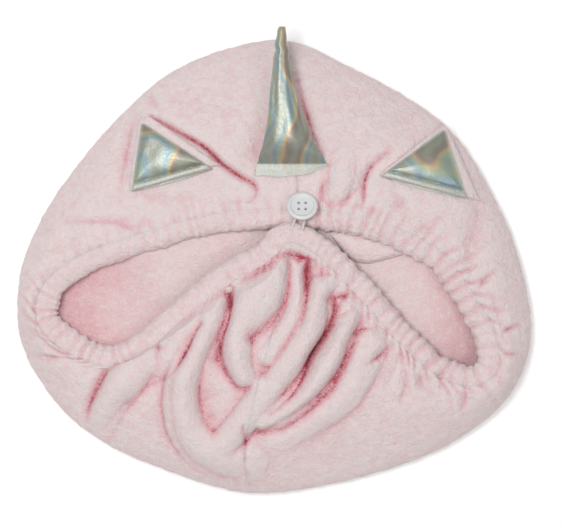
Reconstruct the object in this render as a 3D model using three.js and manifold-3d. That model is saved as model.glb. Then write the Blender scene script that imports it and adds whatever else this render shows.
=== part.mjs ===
// A plush hair turban with a horn and two ears, lying flat on its back.
// The hood is a hollow fleece bag in two halves, sewn along a centre seam. Its mouth is on the
// upper side, edged by a gathered elastic casing whose nape side is drawn up and looped over a
// button on the forehead side, so that the mouth shows as a left and a right opening.
// Millimetres. +X is to the right, +Y towards the crown, +Z up from the surface it lies on.

import * as THREE from "three";
import { mergeVertices } from "three/addons/utils/BufferGeometryUtils.js";
import Module from "manifold-3d";

const wasm = await Module();
wasm.setup();

// Driving dimensions of the hood
const HOOD_WIDTH = 300;
const HOOD_LENGTH = 264;
const FABRIC = 3;
const CASING_RISE = 34; // height of the casing's centre where it is highest
const PANEL_PUFF = 6; // how far the panels swell above the casing
const EDGE_RISE = 7; // height of the outermost line of the folded edge
const EDGE_ROUND = 8; // how far the underside curls in from that line
const FOLD_DEPTH = 13; // depth of the deepest crease
const SEAM_GAP = 0.3;
const CLEARANCE = 0.3;

// The gathered casing along the mouth
const CASING_WIDTH = 14;
const CASING_HEIGHT = 11;
const RIB_DEPTH = 1.1;
const GATHER_DEPTH = 1;
const GATHER_REACH = 16;

// The ears: a foil face on a plush back
const EAR_BASE = 50;
const EAR_HEIGHT = 37;
const EAR_TILT_DEGREES = 15;
const EAR_FOIL = 1.2;
const EAR_PLUSH = 2.5;
const EAR_BORDER = 3;
const EAR_CROWN = 2.5; // how far the foil swells in its middle
const EAR_LIFT = 6; // how far the tip stands off the hood

// The horn, a stuffed foil cone with a flat hem
const HORN_LENGTH = 88;
const HORN_BASE = 43;
const HORN_THICKNESS = 15;
const HORN_LEAN_DEGREES = 3.5;

// The button, its wound thread and the elastic loop round it
const BUTTON_DIAMETER = 18;
const BUTTON_THICKNESS = 2.6;
const BUTTON_DISH_DEPTH = 0.9;
const BUTTON_RIM = 2.6;
const BUTTON_HOLE = 1.7;
const BUTTON_HOLE_PITCH = 4;
const BUTTON_TILT_DEGREES = 28;
const BUTTON_SETBACK = 6; // how far it stands behind the middle of the casing
const SHANK_DIAMETER = 3;
const SHANK_SPARE = 1.2; // thread left above the loop, under the button
const LOOP_DIAMETER = 1.8;
const LOOP_SPREAD = 6.5; // between its two strands at the casing

// How finely the cloth is faceted
const STEPS_PER_STATION = 4;
const TOP_STEPS = 10;
const CURL_STEPS = 3;
const BASE_STEPS = 1;
const CASING_SIDES = 7;
const HORN_SIDES = 14;
const EAR_STEPS = 6;
const FOLD_STEPS = 12;
const RINGS_PER_STEP = 2; // rings of the casing to each step of the panels
const BUTTON_SIDES = 24;
const HOLE_SIDES = 10;
const SHANK_SIDES = 12;
const LOOP_STEPS = 30;
const LOOP_QUARTER_STEPS = 3;

// Stations round the hood, clockwise from the front seam. edge is the folded outer edge and rim
// the middle of the casing, as shares of half the width and half the length. rise is the
// casing's height as a share of CASING_RISE.
const STATIONS = [
  { edge: [0.062, 1.0], rim: [0.094, 0.222], rise: 0.76 },
  { edge: [0.297, 0.884], rim: [0.215, 0.213], rise: 0.76 },
  { edge: [0.539, 0.733], rim: [0.344, 0.191], rise: 0.76 },
  { edge: [0.72, 0.562], rim: [0.472, 0.14], rise: 0.73 },
  { edge: [0.871, 0.276], rim: [0.621, 0.049], rise: 0.68 },
  { edge: [0.957, 0.022], rim: [0.703, -0.053], rise: 0.65 },
  { edge: [1.0, -0.227], rim: [0.785, -0.2], rise: 0.63 },
  { edge: [0.988, -0.396], rim: [0.836, -0.333], rise: 0.6 },
  { edge: [0.93, -0.547], rim: [0.832, -0.449], rise: 0.58 },
  { edge: [0.824, -0.676], rim: [0.742, -0.489], rise: 0.6 },
  { edge: [0.648, -0.804], rim: [0.605, -0.418], rise: 0.66 },
  { edge: [0.457, -0.889], rim: [0.477, -0.276], rise: 0.73 },
  { edge: [0.258, -0.951], rim: [0.352, -0.116], rise: 0.83 },
  { edge: [0.063, -0.991], rim: [0.227, 0.036], rise: 0.95 },
  { edge: [-0.082, -1.0], rim: [0.067, 0.14], rise: 1.0 },
  { edge: [-0.223, -0.973], rim: [-0.047, 0.044], rise: 0.96 },
  { edge: [-0.434, -0.893], rim: [-0.203, -0.058], rise: 0.88 },
  { edge: [-0.625, -0.8], rim: [-0.355, -0.187], rise: 0.79 },
  { edge: [-0.789, -0.671], rim: [-0.492, -0.329], rise: 0.68 },
  { edge: [-0.906, -0.511], rim: [-0.625, -0.404], rise: 0.59 },
  { edge: [-0.98, -0.347], rim: [-0.773, -0.356], rise: 0.55 },
  { edge: [-1.0, -0.182], rim: [-0.887, -0.244], rise: 0.54 },
  { edge: [-0.977, 0.022], rim: [-0.875, -0.107], rise: 0.57 },
  { edge: [-0.891, 0.244], rim: [-0.773, 0.0], rise: 0.63 },
  { edge: [-0.77, 0.444], rim: [-0.629, 0.071], rise: 0.65 },
  { edge: [-0.617, 0.649], rim: [-0.445, 0.138], rise: 0.7 },
  { edge: [-0.414, 0.853], rim: [-0.25, 0.196], rise: 0.74 },
  { edge: [-0.172, 0.969], rim: [-0.074, 0.222], rise: 0.76 },
];
const FRONT_SEAM = 0;
const BACK_SEAM = 14;
const BUTTON_STATION = 0.1;

// Folds of the cloth, each along a curve through its four points, given as shares of half the
// width and half the length. depth is a share of FOLD_DEPTH, below nought for a crease, and
// reach is the fold's half width as a share of half the hood's width.
const FOLDS = [
  { name: "nape fold left", depth: 0.5, reach: 0.09,
    path: [[-0.33, -0.2], [-0.46, -0.34], [-0.56, -0.48], [-0.65, -0.6]] },
  { name: "crease beside it", depth: -0.9, reach: 0.05,
    path: [[-0.28, -0.23], [-0.34, -0.37], [-0.38, -0.47], [-0.4, -0.56]] },
  { name: "hooked fold", depth: 0.6, reach: 0.075,
    path: [[-0.24, -0.17], [-0.31, -0.4], [-0.31, -0.6], [-0.2, -0.76]] },
  { name: "hollow in the hook", depth: -0.6, reach: 0.07,
    path: [[-0.23, -0.45], [-0.23, -0.52], [-0.2, -0.6], [-0.15, -0.65]] },
  { name: "crease above the hollow", depth: -1, reach: 0.05,
    path: [[-0.17, -0.09], [-0.175, -0.22], [-0.2, -0.36], [-0.18, -0.46]] },
  { name: "tongue fold", depth: 0.55, reach: 0.08,
    path: [[-0.05, -0.04], [-0.12, -0.28], [-0.14, -0.42], [-0.1, -0.52]] },
  { name: "crease under the loop", depth: -1, reach: 0.055,
    path: [[0.11, 0.0], [0.125, -0.12], [0.08, -0.28], [-0.02, -0.4]] },
  { name: "middle fold", depth: 0.55, reach: 0.075,
    path: [[0.18, -0.1], [0.11, -0.32], [0.04, -0.48], [-0.03, -0.6]] },
  { name: "long crease", depth: -0.95, reach: 0.05,
    path: [[0.23, -0.13], [0.18, -0.33], [0.11, -0.53], [-0.01, -0.66]] },
  { name: "long fold", depth: 0.6, reach: 0.075,
    path: [[0.32, -0.17], [0.22, -0.37], [0.14, -0.56], [-0.06, -0.7]] },
  { name: "crease beyond it", depth: -0.7, reach: 0.05,
    path: [[0.38, -0.26], [0.28, -0.37], [0.21, -0.54], [0.03, -0.73]] },
  { name: "short crease right", depth: -0.4, reach: 0.05,
    path: [[0.46, -0.33], [0.42, -0.38], [0.38, -0.42], [0.33, -0.45]] },
  { name: "crease by the left ear", depth: -0.45, reach: 0.05,
    path: [[-0.44, 0.68], [-0.32, 0.57], [-0.2, 0.46], [-0.08, 0.33]] },
  { name: "crease by the right ear", depth: -0.5, reach: 0.05,
    path: [[0.44, 0.54], [0.38, 0.43], [0.35, 0.34], [0.335, 0.25]] },
  { name: "forehead crease right", depth: -0.4, reach: 0.055,
    path: [[0.81, 0.28], [0.79, 0.2], [0.78, 0.12], [0.76, 0.03]] },
  { name: "forehead crease left", depth: -0.35, reach: 0.055,
    path: [[-0.81, 0.21], [-0.7, 0.21], [-0.6, 0.19], [-0.5, 0.12]] },
  { name: "crease by the nape seam", depth: -0.35, reach: 0.05,
    path: [[-0.09, -0.94], [-0.1, -0.88], [-0.115, -0.8], [-0.118, -0.72]] },
  { name: "crease by the right edge", depth: -0.3, reach: 0.05,
    path: [[0.95, -0.22], [0.93, -0.27], [0.91, -0.31], [0.88, -0.35]] },
  { name: "crease by the left edge", depth: -0.3, reach: 0.05,
    path: [[-0.95, -0.06], [-0.9, 0.02], [-0.83, 0.09], [-0.74, 0.14]] },
];

// Each ear's place: the middle of its sewn base as shares of half the width and half the
// length, and its tip's place along the base, from the outer corner.
const EARS = [
  { side: "left", mirror: -1, middle: [-0.396, 0.393], tip: 0.33 },
  { side: "right", mirror: 1, middle: [0.584, 0.356], tip: 0.42 },
];

// Sections of the horn from its hem to its tip: along is a share of HORN_LENGTH, width of
// HORN_BASE and thickness of HORN_THICKNESS.
const HORN_SECTIONS = [
  { along: 0.0, width: 1.0, thickness: 0.11 },
  { along: 0.055, width: 0.99, thickness: 0.11 },
  { along: 0.075, width: 0.96, thickness: 0.42 },
  { along: 0.14, width: 0.84, thickness: 0.82 },
  { along: 0.24, width: 0.66, thickness: 1.0 },
  { along: 0.38, width: 0.49, thickness: 0.98 },
  { along: 0.54, width: 0.36, thickness: 0.86 },
  { along: 0.7, width: 0.27, thickness: 0.68 },
  { along: 0.86, width: 0.18, thickness: 0.48 },
  { along: 1.0, width: 0.1, thickness: 0.28 },
];
const HORN_PLACE = [0.066, 0.404]; // the middle of its hem, as the stations give places

const HALF_WIDTH = HOOD_WIDTH / 2;
const HALF_LENGTH = HOOD_LENGTH / 2;
const CASING_SEAT = CASING_WIDTH / 2 + CLEARANCE;
const QUARTER_TURN = Math.PI / 2;
const FULL_TURN = Math.PI * 2;
const TANGENT_STEP = 0.02; // of a station, for the direction of a curve
const ROW_CROWDING = 1.5; // crowds the rows of the upper layer towards the folded edge
const EAR_CURL = 1.5; // how late an ear lifts off on the way to its tip
const MERGE = 1e-4; // distance under which two points are one

const radians = (degrees) => (degrees * Math.PI) / 180;
const placed = ([across, along]) => new THREE.Vector2(across * HALF_WIDTH, along * HALF_LENGTH);

// Smooth curve value at share t between b and c, with neighbours a and d.
function smoothBetween(a, b, c, d, t) {
  const slope = (c - a) / 2;
  const nextSlope = (d - b) / 2;
  const cubic = 2 * (b - c) + slope + nextSlope;
  const square = 3 * (c - b) - 2 * slope - nextSlope;
  return ((cubic * t + square) * t + slope) * t + b;
}

// The stations as a closed curve: its edge, rim and rise at a station number with a fraction.
function stationAt(number) {
  const count = STATIONS.length;
  const turn = ((number % count) + count) % count;
  const index = Math.floor(turn);
  const near = [-1, 0, 1, 2].map((step) => STATIONS[(index + step + count) % count]);
  const value = (read) => smoothBetween(...near.map(read), turn - index);
  return {
    edge: placed([value((s) => s.edge[0]), value((s) => s.edge[1])]),
    rim: placed([value((s) => s.rim[0]), value((s) => s.rim[1])]),
    rise: CASING_RISE * value((s) => s.rise),
  };
}

// Level unit vector at right angles to the edge or the rim, pointing away from the mouth.
function outwardAt(number, line) {
  const after = stationAt(number + TANGENT_STEP)[line];
  const along = after.sub(stationAt(number - TANGENT_STEP)[line]).normalize();
  return new THREE.Vector2(-along.y, along.x);
}

const FOLD_CURVES = FOLDS.map((fold) => {
  const points = fold.path.map((point) => new THREE.Vector3(...placed(point), 0));
  const line = new THREE.CatmullRomCurve3(points).getPoints(FOLD_STEPS);
  return { ...fold, line, depth: fold.depth * FOLD_DEPTH, reach: fold.reach * HALF_WIDTH };
});

// Height that the folds add at a place: each is a rounded ridge or trough that fades to its ends.
function foldsAt(place) {
  const point = new THREE.Vector3(place.x, place.y, 0);
  const nearest = new THREE.Vector3();
  let height = 0;
  for (const fold of FOLD_CURVES) {
    let distance = Infinity;
    let share = 0;
    for (let i = 1; i < fold.line.length; i++) {
      const segment = new THREE.Line3(fold.line[i - 1], fold.line[i]);
      const t = segment.closestPointToPointParameter(point, true);
      const away = segment.at(t, nearest).distanceTo(point);
      if (away < distance) {
        distance = away;
        share = (i - 1 + t) / (fold.line.length - 1);
      }
    }
    const fade = Math.sqrt(Math.max(0, 4 * share * (1 - share)));
    height += fold.depth * fade * Math.exp(-((distance / fold.reach) ** 2));
  }
  return height;
}

// A point of the hood's upper layer. turn goes from 0 at the folded edge to a quarter turn at
// the rim, and inset is 0 on the outer face and FABRIC on the inner one.
function upperPoint(number, turn, inset, ruffle) {
  const { edge, rim, rise } = stationAt(number);
  const start = edge.addScaledVector(outwardAt(number, "edge"), -inset);
  const end = rim.addScaledVector(outwardAt(number, "rim"), CASING_SEAT);
  const share = 1 - Math.cos(turn);
  const place = start.clone().lerp(end, share);
  const fromRim = place.distanceTo(end);
  const swell = PANEL_PUFF * Math.sin(Math.PI * share);
  const folds = foldsAt(place) * Math.min(1, fromRim / (2 * CASING_SEAT));
  const gather = ruffle * GATHER_DEPTH * Math.exp(-fromRim / GATHER_REACH);
  const crest = rise + FABRIC / 2 + swell + folds + gather - inset;
  const height = EDGE_RISE + (crest - EDGE_RISE) * Math.sin(turn);
  return new THREE.Vector3(place.x, place.y, height);
}

// A point of the curl from the folded edge to the underside, turn from 0 to a quarter turn.
function curlPoint(number, turn, inset) {
  const { edge } = stationAt(number);
  const inward = inset + (EDGE_ROUND - inset) * (1 - Math.cos(turn));
  const place = edge.addScaledVector(outwardAt(number, "edge"), -inward);
  return new THREE.Vector3(place.x, place.y, EDGE_RISE - (EDGE_RISE - inset) * Math.sin(turn));
}

// A point of the underside's layer, share from 0 at the curl to 1 at the centre seam.
function basePoint(number, share, inset) {
  const start = curlPoint(number, QUARTER_TURN, inset);
  const front = curlPoint(FRONT_SEAM, QUARTER_TURN, inset);
  const back = curlPoint(BACK_SEAM, QUARTER_TURN, inset);
  const level = THREE.MathUtils.clamp((start.y - back.y) / (front.y - back.y), 0, 1);
  return start.lerp(back.lerp(front, level), share);
}

// One face of a half of the hood, as a grid: a row for each step between the two seams and a
// column for each step from the rim over the folded edge to the seam underneath.
function hoodFace(from, to, seamSide, inset) {
  const rows = [];
  const steps = (to - from) * STEPS_PER_STATION;
  for (let i = 0; i <= steps; i++) {
    const number = from + i / STEPS_PER_STATION;
    const ruffle = i % 2 ? -1 : 1;
    const row = [];
    for (let j = 0; j < TOP_STEPS; j++) {
      const share = (1 - j / TOP_STEPS) ** ROW_CROWDING;
      row.push(upperPoint(number, Math.acos(1 - share), inset, ruffle));
    }
    for (let j = 0; j < CURL_STEPS; j++) {
      row.push(curlPoint(number, (QUARTER_TURN * j) / CURL_STEPS, inset));
    }
    for (let j = 0; j <= BASE_STEPS; j++) row.push(basePoint(number, j / BASE_STEPS, inset));
    const onSeam = i === 0 || i === steps;
    row.forEach((point, j) => {
      if (onSeam || j === row.length - 1) point.x += (seamSide * SEAM_GAP) / 2;
    });
    rows.push(row);
  }
  return rows;
}

// A closed geometry from points and faces: doubled points are merged, flat faces left out, and
// the winding is turned so that the faces point outwards.
function closedSolid(points, faces) {
  const loose = new THREE.BufferGeometry().setFromPoints(points);
  loose.setIndex(faces);
  const merged = mergeVertices(loose, MERGE);
  const index = merged.index.array;
  const kept = [];
  for (let i = 0; i < index.length; i += 3) {
    const [a, b, c] = [index[i], index[i + 1], index[i + 2]];
    if (a !== b && b !== c && c !== a) kept.push(a, b, c);
  }
  const [a, b, c] = [0, 0, 0].map(() => new THREE.Vector3());
  const place = merged.getAttribute("position");
  let volume = 0;
  for (let i = 0; i < kept.length; i += 3) {
    a.fromBufferAttribute(place, kept[i]);
    b.fromBufferAttribute(place, kept[i + 1]);
    c.fromBufferAttribute(place, kept[i + 2]);
    volume += a.dot(b.cross(c));
  }
  merged.setIndex(volume < 0 ? kept.reverse() : kept);
  merged.computeVertexNormals();
  return merged;
}

// A sheet with thickness: two grids of the same size, joined all round their borders.
function thickSheet(outer, inner) {
  const rows = outer.length;
  const columns = outer[0].length;
  const end = columns - 1;
  const points = [...outer.flat(), ...inner.flat()];
  const faces = [];
  const at = (side, i, j) => side * rows * columns + i * columns + j;
  const quad = (p, q, r, s) => faces.push(p, q, r, p, r, s);
  for (let i = 1; i < rows; i++) {
    for (let j = 1; j < columns; j++) {
      quad(at(0, i - 1, j - 1), at(0, i, j - 1), at(0, i, j), at(0, i - 1, j));
      quad(at(1, i - 1, j), at(1, i, j), at(1, i, j - 1), at(1, i - 1, j - 1));
    }
    quad(at(0, i, 0), at(0, i - 1, 0), at(1, i - 1, 0), at(1, i, 0));
    quad(at(0, i - 1, end), at(0, i, end), at(1, i, end), at(1, i - 1, end));
  }
  for (let j = 1; j < columns; j++) {
    quad(at(0, 0, j - 1), at(0, 0, j), at(1, 0, j), at(1, 0, j - 1));
    quad(at(0, rows - 1, j), at(0, rows - 1, j - 1), at(1, rows - 1, j - 1), at(1, rows - 1, j));
  }
  return closedSolid(points, faces);
}

// A skin over closed rings of points, joined back to the first ring or capped at both ends.
function ringSkin(rings, joined) {
  const sides = rings[0].length;
  const points = rings.flat();
  const faces = [];
  const last = joined ? rings.length : rings.length - 1;
  for (let i = 0; i < last; i++) {
    const next = (i + 1) % rings.length;
    for (let j = 0; j < sides; j++) {
      const side = (j + 1) % sides;
      const [p, q] = [i * sides + j, i * sides + side];
      const [r, s] = [next * sides + side, next * sides + j];
      faces.push(p, q, r, p, r, s);
    }
  }
  if (!joined) {
    const end = (rings.length - 1) * sides;
    for (let j = 2; j < sides; j++) {
      faces.push(0, j, j - 1);
      faces.push(end, end + j - 1, end + j);
    }
  }
  return closedSolid(points, faces);
}

const fleece = new THREE.MeshStandardMaterial({ color: 0xe6d0d2, roughness: 0.95 });
const foil = new THREE.MeshStandardMaterial({ color: 0xb9c2bd, roughness: 0.25, metalness: 0.85 });
const whitePlastic = new THREE.MeshStandardMaterial({ color: 0xe2e6e4, roughness: 0.35 });
const whiteThread = new THREE.MeshStandardMaterial({ color: 0xe9e6e2, roughness: 0.8 });

function named(name, geometry, material) {
  const mesh = new THREE.Mesh(geometry, material);
  mesh.name = name;
  return mesh;
}

// Half of the hood between two seams.
function hoodHalf(name, from, to, seamSide) {
  const outer = hoodFace(from, to, seamSide, 0);
  const inner = hoodFace(from, to, seamSide, FABRIC);
  return named(name, thickSheet(outer, inner), fleece);
}

// The casing: an oval tube along the rim, ribbed by its gathers, two rings to each hood step.
function elasticCasing() {
  const rings = [];
  const perStation = STEPS_PER_STATION * RINGS_PER_STEP;
  for (let i = 0; i < STATIONS.length * perStation; i++) {
    const number = i / perStation;
    const { rim, rise } = stationAt(number);
    const outward = outwardAt(number, "rim");
    const drawnIn = i % 2 ? RIB_DEPTH : 0;
    const halfWidth = CASING_WIDTH / 2 - drawnIn;
    const halfHeight = CASING_HEIGHT / 2 - drawnIn;
    const ring = [];
    for (let j = 0; j < CASING_SIDES; j++) {
      const turn = (FULL_TURN * j) / CASING_SIDES;
      const place = rim.clone().addScaledVector(outward, halfWidth * Math.cos(turn));
      ring.push(new THREE.Vector3(place.x, place.y, rise + halfHeight * Math.sin(turn)));
    }
    rings.push(ring);
  }
  return named("elastic_casing", ringSkin(rings, true), fleece);
}

const hood = [
  hoodHalf("right_panel", FRONT_SEAM, BACK_SEAM, 1),
  hoodHalf("left_panel", BACK_SEAM, STATIONS.length, -1),
];
const casing = elasticCasing();
const cloth = [...hood, casing];

// Height of the highest cloth under a place, or 0 beyond the hood. It looks to each side too,
// so that a seam's gap doesn't count.
function clothHeight(x, y, look = SEAM_GAP * 2) {
  const down = new THREE.Vector3(0, 0, -1);
  const sides = [[-look, 0], [look, 0], [0, -look], [0, look]];
  let height = 0;
  for (const [dx, dy] of sides) {
    const above = new THREE.Vector3(x + dx, y + dy, HOOD_WIDTH);
    for (const hit of new THREE.Raycaster(above, down).intersectObjects(cloth)) {
      height = Math.max(height, hit.point.z);
    }
  }
  return height;
}

// A grid over an ear's triangle: rows rise from the base to the tip, and border narrows the
// two free sides. Each point is a place on the hood and a share of the way to the tip.
function earGrid(ear, border) {
  const inward = ear.mirror * radians(EAR_TILT_DEGREES);
  const origin = placed(ear.middle);
  const rows = [];
  for (let i = 0; i <= EAR_STEPS; i++) {
    const up = i / EAR_STEPS;
    const row = [];
    const halfBase = EAR_BASE / 2 - border;
    const height = EAR_HEIGHT - border * 2;
    const tip = (ear.tip - 0.5) * 2 * halfBase;
    for (let j = 0; j <= EAR_STEPS; j++) {
      const side = THREE.MathUtils.lerp(-halfBase, halfBase, j / EAR_STEPS);
      const fromOuter = THREE.MathUtils.lerp(side, tip, up);
      const place = new THREE.Vector2(-ear.mirror * fromOuter, height * up);
      place.rotateAround(new THREE.Vector2(), -inward).add(origin);
      row.push({ place, up, across: j / EAR_STEPS });
    }
    rows.push(row);
  }
  return rows;
}

// Lays an ear's grid over the cloth: it is seated along its base, bridges the hollows under it
// and lifts off towards its tip.
function earSurface(grid, offset, crown) {
  const look = EAR_BASE / EAR_STEPS / 2;
  const under = grid.map((row) => row.map(({ place }) => clothHeight(place.x, place.y, look)));
  const tipLevel = under[EAR_STEPS][0];
  return grid.map((row, i) =>
    row.map(({ place, up, across }, j) => {
      const level = Math.max(under[i][j], THREE.MathUtils.lerp(under[0][j], tipLevel, up));
      const swell = crown * Math.sin(Math.PI * across) * Math.sqrt(Math.sin(Math.PI * up));
      const height = level + CLEARANCE + EAR_LIFT * up ** EAR_CURL + offset + swell;
      return new THREE.Vector3(place.x, place.y, height);
    }),
  );
}

// An ear: the plush back next to the hood and the narrower foil face on it.
function earMeshes(ear) {
  const back = earGrid(ear, 0);
  const face = earGrid(ear, EAR_BORDER);
  const backUnder = earSurface(back, 0, 0);
  const backOver = earSurface(back, EAR_PLUSH, 0);
  const faceUnder = earSurface(face, EAR_PLUSH + CLEARANCE * 2, EAR_CROWN);
  const faceOver = earSurface(face, EAR_PLUSH + CLEARANCE * 2 + EAR_FOIL, EAR_CROWN);
  return [
    named(`ear_back_${ear.side}`, thickSheet(backOver, backUnder), fleece),
    named(`ear_face_${ear.side}`, thickSheet(faceOver, faceUnder), foil),
  ];
}

// The horn: oval sections along a straight line that clears the cloth from hem to tip.
function horn() {
  const base = placed(HORN_PLACE);
  const lean = radians(HORN_LEAN_DEGREES);
  const along = new THREE.Vector2(-Math.sin(lean), Math.cos(lean));
  const across = new THREE.Vector2(along.y, -along.x);
  const sections = HORN_SECTIONS.map((section) => {
    const distance = section.along * HORN_LENGTH;
    const middle = base.clone().addScaledVector(along, distance);
    const halfWidth = (section.width * HORN_BASE) / 2;
    const heights = [-1, -0.6, -0.2, 0.2, 0.6, 1].map((side) => {
      const place = middle.clone().addScaledVector(across, side * halfWidth);
      return clothHeight(place.x, place.y);
    });
    return { ...section, distance, middle, halfWidth, under: Math.max(...heights) };
  });
  const seat = Math.max(sections[0].under, sections[1].under) + CLEARANCE;
  const body = sections.slice(2);
  const slope = Math.max(...body.map((s) => (s.under + CLEARANCE - seat) / s.distance));
  const rings = sections.map((section) => {
    const halfThickness = (section.thickness * HORN_THICKNESS) / 2;
    const floor = seat + Math.max(slope, 0) * section.distance;
    const ring = [];
    for (let j = 0; j < HORN_SIDES; j++) {
      const turn = (FULL_TURN * j) / HORN_SIDES;
      const place = section.middle.clone();
      place.addScaledVector(across, section.halfWidth * Math.cos(turn));
      const height = floor + halfThickness * (1 + Math.sin(turn));
      ring.push(new THREE.Vector3(place.x, place.y, height));
    }
    return ring;
  });
  return named("horn", ringSkin(rings, false), foil);
}

// A closed geometry as a solid that can be cut, in millimetres.
function cuttable(geometry) {
  const bare = geometry.clone().deleteAttribute("normal").deleteAttribute("uv");
  const merged = mergeVertices(bare, MERGE);
  return new wasm.Manifold(
    new wasm.Mesh({
      numProp: 3,
      vertProperties: merged.getAttribute("position").array,
      triVerts: new Uint32Array(merged.index.array),
    }),
  );
}

// A round post that stands on end, about its middle.
function postGeometry(diameter, height, sides) {
  return new THREE.CylinderGeometry(diameter / 2, diameter / 2, height, sides).rotateX(QUARTER_TURN);
}

// The button, about its own axis: a turned disc with a raised rim and four drilled holes.
function buttonGeometry() {
  const radius = BUTTON_DIAMETER / 2;
  const half = BUTTON_THICKNESS / 2;
  const rounding = BUTTON_THICKNESS / 4;
  const profile = [
    [0, -half],
    [radius - 2 * rounding, -half],
    [radius, -half + rounding],
    [radius, half - rounding],
    [radius - rounding, half],
    [radius - BUTTON_RIM + rounding, half],
    [radius - BUTTON_RIM, half - BUTTON_DISH_DEPTH],
    [0, half - BUTTON_DISH_DEPTH],
  ];
  const outline = profile.map((point) => new THREE.Vector2(...point));
  const lathe = new THREE.LatheGeometry(outline, BUTTON_SIDES);
  let disc = cuttable(lathe.rotateX(QUARTER_TURN));
  const holes = [[1, 1], [1, -1], [-1, 1], [-1, -1]];
  for (const [across, along] of holes) {
    const drill = postGeometry(BUTTON_HOLE, BUTTON_THICKNESS * 2, HOLE_SIDES);
    drill.translate((across * BUTTON_HOLE_PITCH) / 2, (along * BUTTON_HOLE_PITCH) / 2, 0);
    disc = disc.subtract(cuttable(drill));
  }
  const { vertProperties, triVerts } = disc.getMesh();
  const made = new THREE.BufferGeometry();
  made.setAttribute("position", new THREE.BufferAttribute(new Float32Array(vertProperties), 3));
  made.setIndex([...triVerts]);
  made.computeVertexNormals();
  return made;
}

// How high the tilted button's middle lies above a place when its lower edge just clears the cloth.
function clearLift(place, seat, tilt) {
  const radius = BUTTON_DIAMETER / 2;
  let lift = 0;
  for (let i = 0; i < BUTTON_SIDES; i++) {
    const turn = (FULL_TURN * i) / BUTTON_SIDES;
    const across = radius * Math.cos(turn);
    const along = radius * Math.sin(turn);
    const under = clothHeight(place.x + across, place.y + along * Math.cos(tilt));
    const drop = along * Math.sin(tilt) + BUTTON_THICKNESS / 2;
    lift = Math.max(lift, under + CLEARANCE + drop - seat);
  }
  return lift;
}

// The button on its wound thread, standing on the casing, with the loop round the thread.
function fastening() {
  const { rim } = stationAt(BUTTON_STATION);
  const foot = rim.clone().addScaledVector(outwardAt(BUTTON_STATION, "rim"), BUTTON_SETBACK);
  const seat = clothHeight(foot.x, foot.y, SHANK_DIAMETER / 2) + CLEARANCE;
  const level = Math.max(seat, clothHeight(rim.x, rim.y)) + CLEARANCE + LOOP_DIAMETER / 2;
  const tilt = radians(BUTTON_TILT_DEGREES);
  const shankReach = (SHANK_DIAMETER / 2) * Math.sin(tilt);
  const underside = (BUTTON_THICKNESS / 2 + shankReach) / Math.cos(tilt);
  const shankLeast = level - seat + LOOP_DIAMETER / 2 + CLEARANCE + SHANK_SPARE;
  const lift = Math.max(shankLeast + CLEARANCE + underside, clearLift(foot, seat, tilt));
  const shankHeight = lift - underside - CLEARANCE;

  const button = named("button", buttonGeometry(), whitePlastic);
  button.rotation.x = -tilt;
  button.position.set(foot.x, foot.y, seat + lift);
  const shank = postGeometry(SHANK_DIAMETER, shankHeight, SHANK_SIDES);
  shank.translate(foot.x, foot.y, seat + shankHeight / 2);

  const nape = stationAt(BACK_SEAM);
  const top = nape.rim.addScaledVector(outwardAt(BACK_SEAM, "rim"), -CASING_WIDTH / 4);
  const anchor = clothHeight(top.x, top.y) + CLEARANCE + LOOP_DIAMETER / 2;
  const around = SHANK_DIAMETER / 2 + LOOP_DIAMETER / 2 + CLEARANCE * 2;
  const loopPoint = (across, along) => new THREE.Vector3(foot.x + across, foot.y + along, level);
  const bend = [1, 0.75, 0.5, 0.25, 0].map((share) => {
    const turn = Math.PI * share;
    return loopPoint(around * Math.cos(turn), around * Math.sin(turn));
  });
  const path = new THREE.CatmullRomCurve3([
    new THREE.Vector3(top.x - LOOP_SPREAD / 2, top.y, anchor),
    loopPoint(-around, -around),
    ...bend,
    loopPoint(around, -around),
    new THREE.Vector3(top.x + LOOP_SPREAD / 2, top.y, anchor),
  ]);
  const section = new THREE.Shape();
  section.absarc(0, 0, LOOP_DIAMETER / 2, 0, FULL_TURN);
  const loop = new THREE.ExtrudeGeometry(section, {
    curveSegments: LOOP_QUARTER_STEPS,
    steps: LOOP_STEPS,
    extrudePath: path,
  });
  const thread = named("button_thread", shank, whiteThread);
  return [button, thread, named("button_loop", loop, whiteThread)];
}

const turban = new THREE.Group();
turban.add(...cloth, ...EARS.flatMap(earMeshes), horn(), ...fastening());

// The whole is set with the middle of its footprint at the origin.
const bounds = new THREE.Box3().setFromObject(turban, true);
const middle = bounds.getCenter(new THREE.Vector3());
turban.position.set(-middle.x, -middle.y, -bounds.min.z);

export default turban;
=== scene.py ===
"""A plush hair turban with a foil horn and two foil ears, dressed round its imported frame.

The hood lies flat on its back with its gathered mouth up. Lengths are in metres, +X is to the
right, +Y towards the crown and +Z up. Fold paths are given in pixels of the photograph, whose
scale and centre are named in Picture.
"""

import logging
import math
from dataclasses import dataclass
from enum import Enum
from typing import Any, Callable, NamedTuple

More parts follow.
